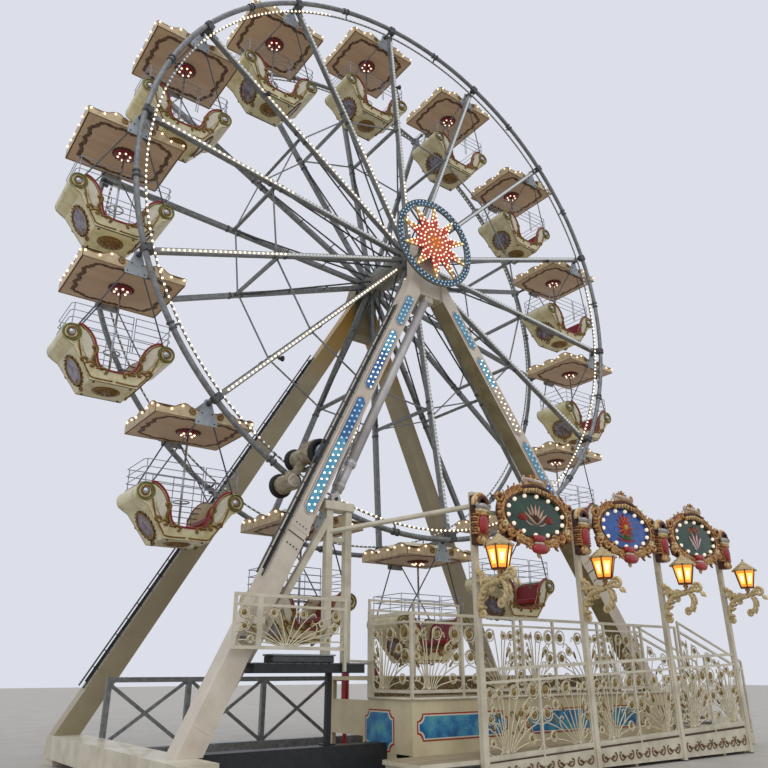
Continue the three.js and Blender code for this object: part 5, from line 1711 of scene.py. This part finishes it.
lantern = {"y": -4.94, "half": 0.18, "low": 0.132, "high": 0.217, "drop": 0.33,
    "roof": ((0.0, 0.435), (0.014, 0.428), (0.024, 0.405), (0.012, 0.385), (0.04, 0.37), (0.052, 0.345),
    (0.1, 0.322), (0.112, 0.3), (0.155, 0.28), (0.165, 0.258), (0.205, 0.24), (0.215, 0.22), (0.25, 0.204),
    (0.25, 0.184), (0.235, 0.176), (0.0, 0.18)), "stem": ((0, -0.33), (0.06, -0.33), (0.065, -0.31),
    (0.034, -0.29), (0.03, -0.26), (0.05, -0.245), (0.055, -0.225), (0.036, -0.21), (0.09, -0.195),
    (0.13, -0.18), (0.11, -0.17), (0, -0.17))}


def buildLantern(number, x, z):
    shape = Shape()
    centre = Vector((x, lantern["y"], z))

    def hexAt(radius, height, k):
        turn = pi * (k + 0.5) / 3
        return centre + Vector((*polar(radius, turn), height))

    half, low, high = lantern["half"], lantern["low"], lantern["high"]
    for k in range(6):
        n = (k + 1) % 6
        outer = [hexAt(low, -half, k), hexAt(low, -half, n), hexAt(high, half, n), hexAt(high, half, k)]
        middle = sum(outer, Vector()) / 4
        inner = [middle + (point - middle) * 0.62 for point in outer]
        core = [middle + (point - middle) * 0.3 for point in outer]
        shape.add(core, [[0, 1, 2, 3]], "lanternHeart")
        for big, small, paint in ((outer, inner, "lanternGlass"), (inner, core, "lanternMiddle")):
            for i in range(4):
                j = (i + 1) % 4
                shape.add([big[i], big[j], small[j], small[i]], [[0, 1, 2, 3]], paint)
        addRod(shape, [hexAt(low + 0.006, -half, k), hexAt(high + 0.006, half, k)], 0.013, "lanternBar", 6)
        addRod(shape, [hexAt(low + 0.006, -half, k), hexAt(low + 0.006, -half, n)], 0.016, "lanternBar", 6)
        addRod(shape, [hexAt(high + 0.006, half, k), hexAt(high + 0.006, half, n)], 0.013, "lanternBar", 6)
    for radius, height in ((low, -half), (high, half)):
        shape.add([hexAt(radius, height, k) for k in range(6)], [list(range(6))], "lanternBar")
    # stepped six sided roof with a finial, scalloped along the eaves
    addTurned(shape, lantern["roof"][::-1], centre, (0, 0, 1), "lanternRoof", 6, False)
    for turn in around(36):
        reach = 0.242 * cos(pi / 6) / cos((turn % (pi / 3)) - pi / 6)
        addTurned(shape, [(0, -0.02), (0.015, -0.012), (0.015, 0.01), (0, 0.018)],
            centre + Vector((*polar(reach, turn), 0.178)), (0, 0, 1), "lanternRoof", 6)
    addTurned(shape, lantern["stem"], centre, (0, 0, 1), "goldLeaf", 16)
    # carved bracket from the post: arm, arched leg, big outer volute, leafy column and curls
    arm = z - lantern["drop"]

    def side(u, v, lift=0.0):
        return Vector((x + lift, facade["y"] - 0.05 - u, arm + v))

    for lift in (-0.022, 0.022):
        for path, thick in ((((0.0, -0.46), (0.03, -0.34), (0.09, -0.2), (0.2, -0.09), (0.36, -0.05),
                (0.5, -0.03)), 0.045), (((0.0, 0.0), (0.2, 0.0), (0.5, -0.01), (0.74, 0.02)), 0.04),
                (((0.56, -0.02), (0.62, -0.1), (0.64, -0.2), (0.6, -0.31), (0.52, -0.36)), 0.04)):
            addRod(shape, onto(side, smoothPath(path, 5), lift),
                tapered(5 * len(path) - 4, thick, thick * 0.6), "carvedCream", 8)
    for centre_, outer, start, turns, thick in (((0.76, 0.05), 0.115, -150, -1.6, 0.034),
            ((0.5, -0.38), 0.075, 60, 1.4, 0.028), ((0.08, -0.5), 0.075, 120, 1.4, 0.028),
            ((0.3, -0.13), 0.06, 30, -1.4, 0.022), ((0.1, 0.07), 0.07, -60, 1.3, 0.03),
            ((0.66, -0.16), 0.06, -90, 1.2, 0.022)):
        path = spiralPath(centre_, outer, outer * 0.15, start, turns, 22)
        addRod(shape, onto(side, path), tapered(23, thick, thick * 0.5), "carvedCream", 7)
    addTurned(shape, [(0, -0.06), (0.04, -0.045), (0.06, 0), (0.045, 0.04), (0, 0.055)], side(0.03, 0.15),
        (0, 0, 1), "carvedCream", 10)
    for u, v, heading, length in ((0.12, -0.1, 100, 0.14), (0.2, -0.06, 80, 0.13), (0.36, -0.05, 110, 0.12),
            (0.62, -0.05, -60, 0.14), (0.66, -0.12, -80, 0.15), (0.64, -0.24, -100, 0.14),
            (0.05, -0.3, 20, 0.14), (0.1, -0.2, 10, 0.14), (0.6, 0.04, 20, 0.15), (0.84, -0.03, -60, 0.12),
            (0.56, -0.3, -60, 0.12), (0.02, -0.4, -10, 0.12)):
        for sign in (-1, 1):
            addLeaf(shape, lambda a, b, c=0.0: side(a, b, sign * (0.035 + c)), (u, v), heading, length,
                0.036, "carvedCream")
    build("lantern" + str(number), shape, "base", "gold_paint")


# painted shade: burgundy brown for the hollows of the carving
surface("carvedShade", ("#2c120b", "#4a2114", "#6b3820"), 55, (0.4, 0.6), bumpMm=0.8, grainMm=14,
    places=(0.28, 0.5, 0.75))
# brown glaze over carved wood, worn to copper on the ridges
surface("carvedBrown", ("#5a2916", "#8c5230", "#b67a4a"), 60, (0.35, 0.55), metallic=0.2, bumpMm=1.0,
    grainMm=16, places=(0.28, 0.5, 0.72))
# plaster white rolls of the crests, dusty pink in the folds
surface("rollPale", ("#a88a74", "#d3c1ae", "#ddd0bf"), 70, (0.3, 0.45), bumpMm=0.5, grainMm=14,
    places=(0.3, 0.6, 0.8))
# silvered rolls of the totems
surface("rollSilver", ("#85807a", "#b3afa8", "#d0cdc6"), 60, (0.25, 0.4), metallic=0.3, bumpMm=0.5,
    places=(0.3, 0.6, 0.8))
# cream painted sheet of the lantern roofs, sooty at the seams
surface("lanternRoof", ("#9f8a5e", "#c4b184", "#d6c79d"), 70, (0.4, 0.55), bumpMm=0.5, grainMm=12)
# oxblood glazing bars
surface("lanternBar", ("#5b1f0c", "#7d3315"), 60, (0.35, 0.5), bumpMm=0.2)
# brushed sign paint, yellow and green, with a little depth of tone
surface("yellowBrush", ("#b98a1e", "#dcb43c"), 60, (0.35, 0.5))
surface("greenBrush", ("#1f5a2a", "#3a8440"), 60, (0.35, 0.5))
# opal glass pearls of the shields
glow("bulbFrosted", "#fff1dc", 0.5, "#efe2cc")
print("carving finishes mixed")
posts = facade["posts"]
for number, (one, two, z, field, motif) in enumerate(zip(posts, posts[1:], facade["shieldZ"],
        ("greenField", "blueField", "greenField"), ("palmette", "flower", "fan")), 1):
    buildShield(number, (one["x"] + two["x"]) / 2, z, field, motif)
for number, spot in enumerate(posts, 1):
    buildTotem(number, spot["x"], spot["totem"])
    buildLantern(number, spot["x"], spot["lantern"])
print("facade carved")

# Wrought railings: bundles of round bar that fan out of one foot, rings with rosettes, gold leaves

iron = {"bar": 0.0105, "leaf": 0.026, "corner": 0.09, "deckBays": ((-1.975, -0.88), (-0.84, 0.43),
    (0.67, 1.5), (1.54, 2.85), (3.09, 3.93), (3.97, 4.3)), "deckLow": 1.305, "deckHigh": 2.33,
    "fenceLow": 0.37, "fenceHigh": 1.38}


def addRosette(shape, at, u, v, radius, bars):
    # a ring of bar round a small pressed rosette and the curl that holds it
    ring = [at(u + point[0], v + point[1]) for point in ovalPath(radius, radius, 0, 22)]
    bars.append(ring + ring[:1])
    inner = radius * 0.58
    addTurned(shape, [(0, -0.008), (inner * 0.75, -0.006), (inner, 0.0), (inner * 0.7, 0.008),
        (inner * 0.3, 0.006), (inner * 0.22, 0.018), (0, 0.022)], at(u, v), (0, -1, 0), "goldBrown", 9)
    bars.append([at(a, b) for a, b in spiralPath((u, v), radius * 0.82, radius * 0.5, 90, 0.9, 14)])


def addFan(shape, at, root, left, right, low, high, bars):
    # the fan fills its panel: the bars leave the foot close together and bend over towards the frame
    tall = high - low
    for sign, edge in ((-1, left), (1, right)):
        wide = abs(edge - root)
        if wide < 0.12:
            continue
        size = min(0.13, wide * 0.22, tall * 0.15)
        for k, (reach, rise) in enumerate(((0.2, 0.97), (0.5, 0.9), (0.78, 0.78), (1.0, 0.6), (1.0, 0.38),
                (0.95, 0.14))):
            foot = root + sign * 0.03 * k
            swing = [(foot, low), (root + sign * wide * 0.3 * reach, low + tall * rise * 0.36),
                (root + sign * wide * reach * 0.62, low + tall * rise * 0.76),
                (root + sign * wide * reach * 0.9, low + tall * rise * 0.97),
                (root + sign * wide * reach, low + tall * rise * 0.88)]
            bars.append(onto(at, smoothPath(swing, 6)))
        for reach, rise, share in ((0.28, 0.86, 0.8), (0.86, 0.86, 1.0), (0.84, 0.5, 0.9), (0.6, 0.62, 0.6),
                (0.72, 0.16, 0.6)):
            radius = size * share
            u = root + sign * min(reach * wide, wide - radius)
            addRosette(shape, at, u, min(low + rise * tall, high - radius), radius, bars)
        hook = curlPath((root + sign * wide * 0.45, low + tall * 0.22), 90 - sign * 30, 0.34,
            (-sign * 200, sign * 500, sign * 1700), 14)
        bars.append(onto(at, hook))
        for reach, rise, heading in ((0.4, 0.5, 60), (0.62, 0.34, 40)):
            addLeaf(shape, at, (root + sign * reach * wide, low + rise * tall),
                heading if sign > 0 else 180 - heading, 0.13, iron["leaf"], "goldBrown", 0.0, 150 * sign)
    addTurned(shape, [(0, -0.02), (0.03, -0.015), (0.03, 0.015), (0, 0.02)], at(root, low + 0.012),
        (0, -1, 0), "railCream", 8)
    corner = iron["corner"]
    bars.append(onto(at, arcPath((left + corner, low + corner), corner, 180, 270, 6)))
    bars.append(onto(at, arcPath((right - corner, low + corner), corner, 0, -90, 6)))


def bendBars(shape, bars):
    grow(shape, "rod", bars, "railCream", Radius=iron["bar"], Sides=5)


def fenceRise(u, v):
    # the fence climbs to the right, its kickboard's lower edge stays level
    below = min(1, max(0, (v - 0.05) / 0.256))
    above = min(1, max(0, (v - 0.306) / 1.314))
    return (u - facade["posts"][0]["x"]) * below * (0.032 + 0.011 * above)


def onFence(y):
    return lambda u, v, lift=0.0: Vector((u, y - lift, v + fenceRise(u, v)))


def buildFence(number, a, b):
    shape = Shape()
    bars = []
    y = facade["y"]
    at = onFence(y)
    low, high = iron["fenceLow"], iron["fenceHigh"]
    middle = (a + b) / 2
    addFan(shape, at, a + 0.5, a + 0.09, middle - 0.02, low, high, bars)
    addFan(shape, at, b - 0.4, middle + 0.02, b - 0.09, low, high, bars)
    bendBars(shape, bars)
    # dark line and brown scrolls along the kickboard
    board = onFence(y - 0.016)
    outline = [(a + 0.055, 0.27), (b - 0.055, 0.27), (b - 0.055, 0.292), (a + 0.055, 0.292)]
    addSheet(shape, board, outline, 0.003, -0.003, "leafBrown")
    for k in range(5):
        cx = a + 0.32 + k * (b - a - 0.64) / 4
        for sign in (-1, 1):
            path = curlPath((cx, 0.155), 90 - sign * 122, 0.31, (sign * 60, sign * 260, sign * 900,
                sign * 2300), 16)
            flatRod(shape, board, path, tapered(17, 0.015, 0.006), "kickBrown", 5)
            addLeaf(shape, board, (cx + sign * 0.05, 0.14), 90 - sign * 75, 0.11, 0.02, "kickBrown")
    build("fenceScrolls" + str(number), shape, "base", "cream_paint")


def buildRailingWork():
    for number, (one, two) in enumerate(zip(facade["posts"], facade["posts"][1:]), 1):
        buildFence(number, one["x"], two["x"])
    shape = Shape()
    bars = []
    at = onFacade(0, -3.4)
    low, high = iron["deckLow"], iron["deckHigh"]
    for i, (a, b) in enumerate(iron["deckBays"]):
        root = a + 0.3 * (b - a) if i % 2 == 0 else b - 0.3 * (b - a)
        addFan(shape, at, root, a + 0.02, b - 0.02, low, high, bars)
    for a, b in zip(iron["deckBays"], iron["deckBays"][1:]):
        if b[0] - a[1] > 0.1:  # a narrow bay between two uprights, filled with a row of rings
            for k in range(7):
                addRosette(shape, at, (a[1] + b[0]) / 2, low + 0.1 + 0.14 * k, 0.06, bars)
    sideAt = lambda u, v, lift=0.0: Vector((-2.0 - lift, u, v))
    addFan(shape, sideAt, -2.62, -3.36, -2.33, low, high, bars)
    bendBars(shape, bars)
    build("deckRailingScrolls", shape, "base", "cream_paint")
    shape = Shape()
    bars = []
    at = onFacade(0, -3.05)
    addFan(shape, at, -4.15, -5.0, -3.12, 1.945, 2.49, bars)
    bendBars(shape, bars)
    # swan neck clamps that hold the panel to the leg
    for x, z in ((-4.6, 2.3), (-4.85, 2.05)):
        addBar(shape, (x, -3.035, z), (x + 0.03, -2.84, z), 0.05, 0.05, "agedSteel", 0.006, (0, 0, 1))
    build("leftFenceScrolls", shape, "base", "cream_paint")


stair = {"x": 5.7403, "going": 0.41, "drop": 0.1365, "treads": 6, "top": 1.0, "stringer": 1.06,
    "rail": 2.39}


def stairLine(x, height):
    return height - stair["drop"] / stair["going"] * (x - stair["x"])


def buildStairWork():
    shape = Shape()
    for y in (-3.38, -2.22):
        bars = []
        at = lambda u, v, lift=0.0: Vector((u, y - lift, stairLine(u, v)))
        for root, left, right in ((6.05, 5.82, 6.95), (7.3, 6.99, 8.1)):
            addFan(shape, at, root, left, right, stair["stringer"] + 0.01, stair["rail"], bars)
        bendBars(shape, bars)
    for i in range(stair["treads"]):  # ribbed nosings on the treads
        top = stair["top"] - i * stair["drop"]
        x = stair["x"] + i * stair["going"]
        for k in range(5):
            addSlab(shape, (x + 0.05 + k * 0.075, -3.34, top + 0.0005),
                (x + 0.09 + k * 0.075, -2.26, top + 0.005), "agedSteel")
    build("stairWork", shape, "base", "cream_paint")


def notched(left, right, low, high, notch):
    # a panel whose corners are cut by a concave quarter round
    path = []
    for cu, cv, start in ((left, low, 90), (right, low, 180), (right, high, 270), (left, high, 0)):
        path.extend(arcPath((cu, cv), notch, start, start - 90, 5))
    return path


def addNotchedPanel(shape, at, left, right, low, high, finish):
    for inset, lift, paint in ((0.0, 0.004, "redLine"), (0.022, 0.006, "skirtEnamel"),
            (0.030, 0.008, "paleLine"), (0.044, 0.010, finish)):
        outline = notched(left + inset, right - inset, low + inset, high - inset, 0.11)
        addSheet(shape, at, outline, lift, -0.002, paint)


# bronze brown scrolls and leaves of the ironwork
surface("goldBrown", ("#5d4a22", "#8a7238", "#ae9658"), 50, (0.35, 0.55), metallic=0.2, bumpMm=0.6,
    grainMm=12, places=(0.28, 0.5, 0.75))
# brown and gold scrolls brushed along the kickboard
surface("kickBrown", ("#4a3018", "#7a5a30", "#a38450"), 45, (0.4, 0.55))
# thick brushed enamel on the bent bars
surface("railCream", ("#bcb092", "#d6ccad", "#e0d7bb"), 90, (0.35, 0.5), bumpMm=0.2)
# off white pinstripe inside the red one
surface("paleLine", ("#c9c4b4", "#dcd8ca"), 80, (0.4, 0.5))
# stencilled riser of the upper step, brown with worn gold
surface("riserBrown", ("#3f3420", "#6a5935", "#94824f"), 45, (0.45, 0.6), places=(0.35, 0.52, 0.7))
# airbrushed skirt panels, blue drifting to green
surface("skirtBlue", ("#0d4878", "#1d6ea0", "#3b8fac", "#5a9f98"), 260, (0.3, 0.45), coat=0.2, bumpMm=0.2,
    grainMm=30, places=(0.3, 0.45, 0.56, 0.68))
buildRailingWork()
buildStairWork()

deck = {"left": -2.0, "right": 4.93, "front": -3.4, "floor": 1.173, "step": 1.503, "panelLow": 0.54,
    "panelHigh": 0.95, "panels": ((-1.91, 0.13), (0.60, 2.53), (2.97, 3.92)),
    "scrolls": (0.365, 2.75, 4.1, 4.75)}


def buildDeckTrim():
    shape = Shape()
    front = deck["front"]
    at = onFacade(0, front)
    for left, right in deck["panels"]:
        addNotchedPanel(shape, at, left, right, deck["panelLow"], deck["panelHigh"], "skirtBlue")
    addNotchedPanel(shape, lambda u, v, lift=0.0: Vector((deck["left"] - 0.004 - lift, u, v)), -2.92, -2.1,
        0.36, 0.99, "skirtBlue")
    # gold scrolls between and beside the panels
    for cx in deck["scrolls"]:
        for sign in (-1, 1):
            for vs in (-1, 1):
                path = curlPath((cx, 0.745 + vs * 0.02), 90 * vs - sign * vs * 25, 0.3,
                    (sign * vs * 250, sign * vs * -500, sign * vs * -1900), 14)
                flatRod(shape, onFacade(0, front - 0.002), path, tapered(15, 0.015, 0.006), "goldBrown", 5)
    # rounded nosing along the deck's edge and planking on top
    addRod(shape, [(-2.0, -3.415, 1.165), (4.98, -3.415, 1.165)], 0.022, "creamEnamel", 8)
    addRod(shape, [(-2.015, -3.4, 1.165), (-2.015, -2.2, 1.165)], 0.022, "creamEnamel", 8)
    for z, y, wide in ((deck["floor"], -2.8, 1.1), (deck["step"], -1.53, 1.2)):
        grow(shape, "block", [[(-1.93, y, z), (deck["right"], y, z)]], "slatTimber", Spacing=0.125,
            Block=(0.118, wide, 0.006))
    addSlab(shape, (-1.95, -2.215, 1.18), (4.95, -2.203, 1.49), "riserBrown")
    # the left skirt hangs lower than the front one
    addSlab(shape, (deck["left"] - 0.004, -2.96, 0.16), (deck["left"] + 0.02, -2.03, 0.6), "skirtEnamel")
    addSlab(shape, (deck["left"] - 0.004, -3.39, 0.345), (deck["left"] + 0.02, -2.96, 0.6), "skirtEnamel")
    build("deckTrim", shape, "base", "cream_paint")
    shape = Shape()
    grow(shape, "block", [[(-2.56, -3.86, 0.334), (5.36, -3.86, 0.334)]], "slatTimber", Spacing=0.085,
        Block=(0.07, 0.88, 0.008))
    build("walkwaySlats", shape, "base", "cream_paint")


buildDeckTrim()
print("railings and deck dressed")

# Carried over solids take the finish of their slot, or a better one of their own

slotFinish = {"cream_paint": "creamEnamel", "grey_steel": "galvanisedSteel", "dark_steel": "agedSteel",
    "cabin_paint": "gondolaCream", "tyre_rubber": "tyreRubber", "jack_red": "redEnamel",
    "sign_blue": "ringBlue", "gold_paint": "goldLeaf"}
# the front base beam takes black paint as painted shade, for the deep shadow along the bottom of the base
ownFinish = {"deck": "skirtEnamel", "spoke_ties": "galvanisedSteel", "hub_drum": "drumGrey",
    # the bearing heads take the legs' painted sunlit and shaded copies of the enamel
    "base_beam_front": "blackPaint", "bearing_head_rear": "legInside", "bearing_head_front": "legFront"}
# weathered enamel on the hub's drum
surface("drumGrey", ("#6f6e64", "#8d8b80", "#a3a196"), 200, (0.4, 0.6), bumpMm=0.4, grainMm=14)


def paintSolids():
    for name, solid in frame["nodes"].items():
        old = solid.data.materials[0].name if solid.data.materials else ""
        finish = ownFinish.get(name) or slotFinish.get(old.split(".")[0]) or "creamEnamel"
        solid.data.materials.clear()
        solid.data.materials.append(finishes[finish])


paintSolids()
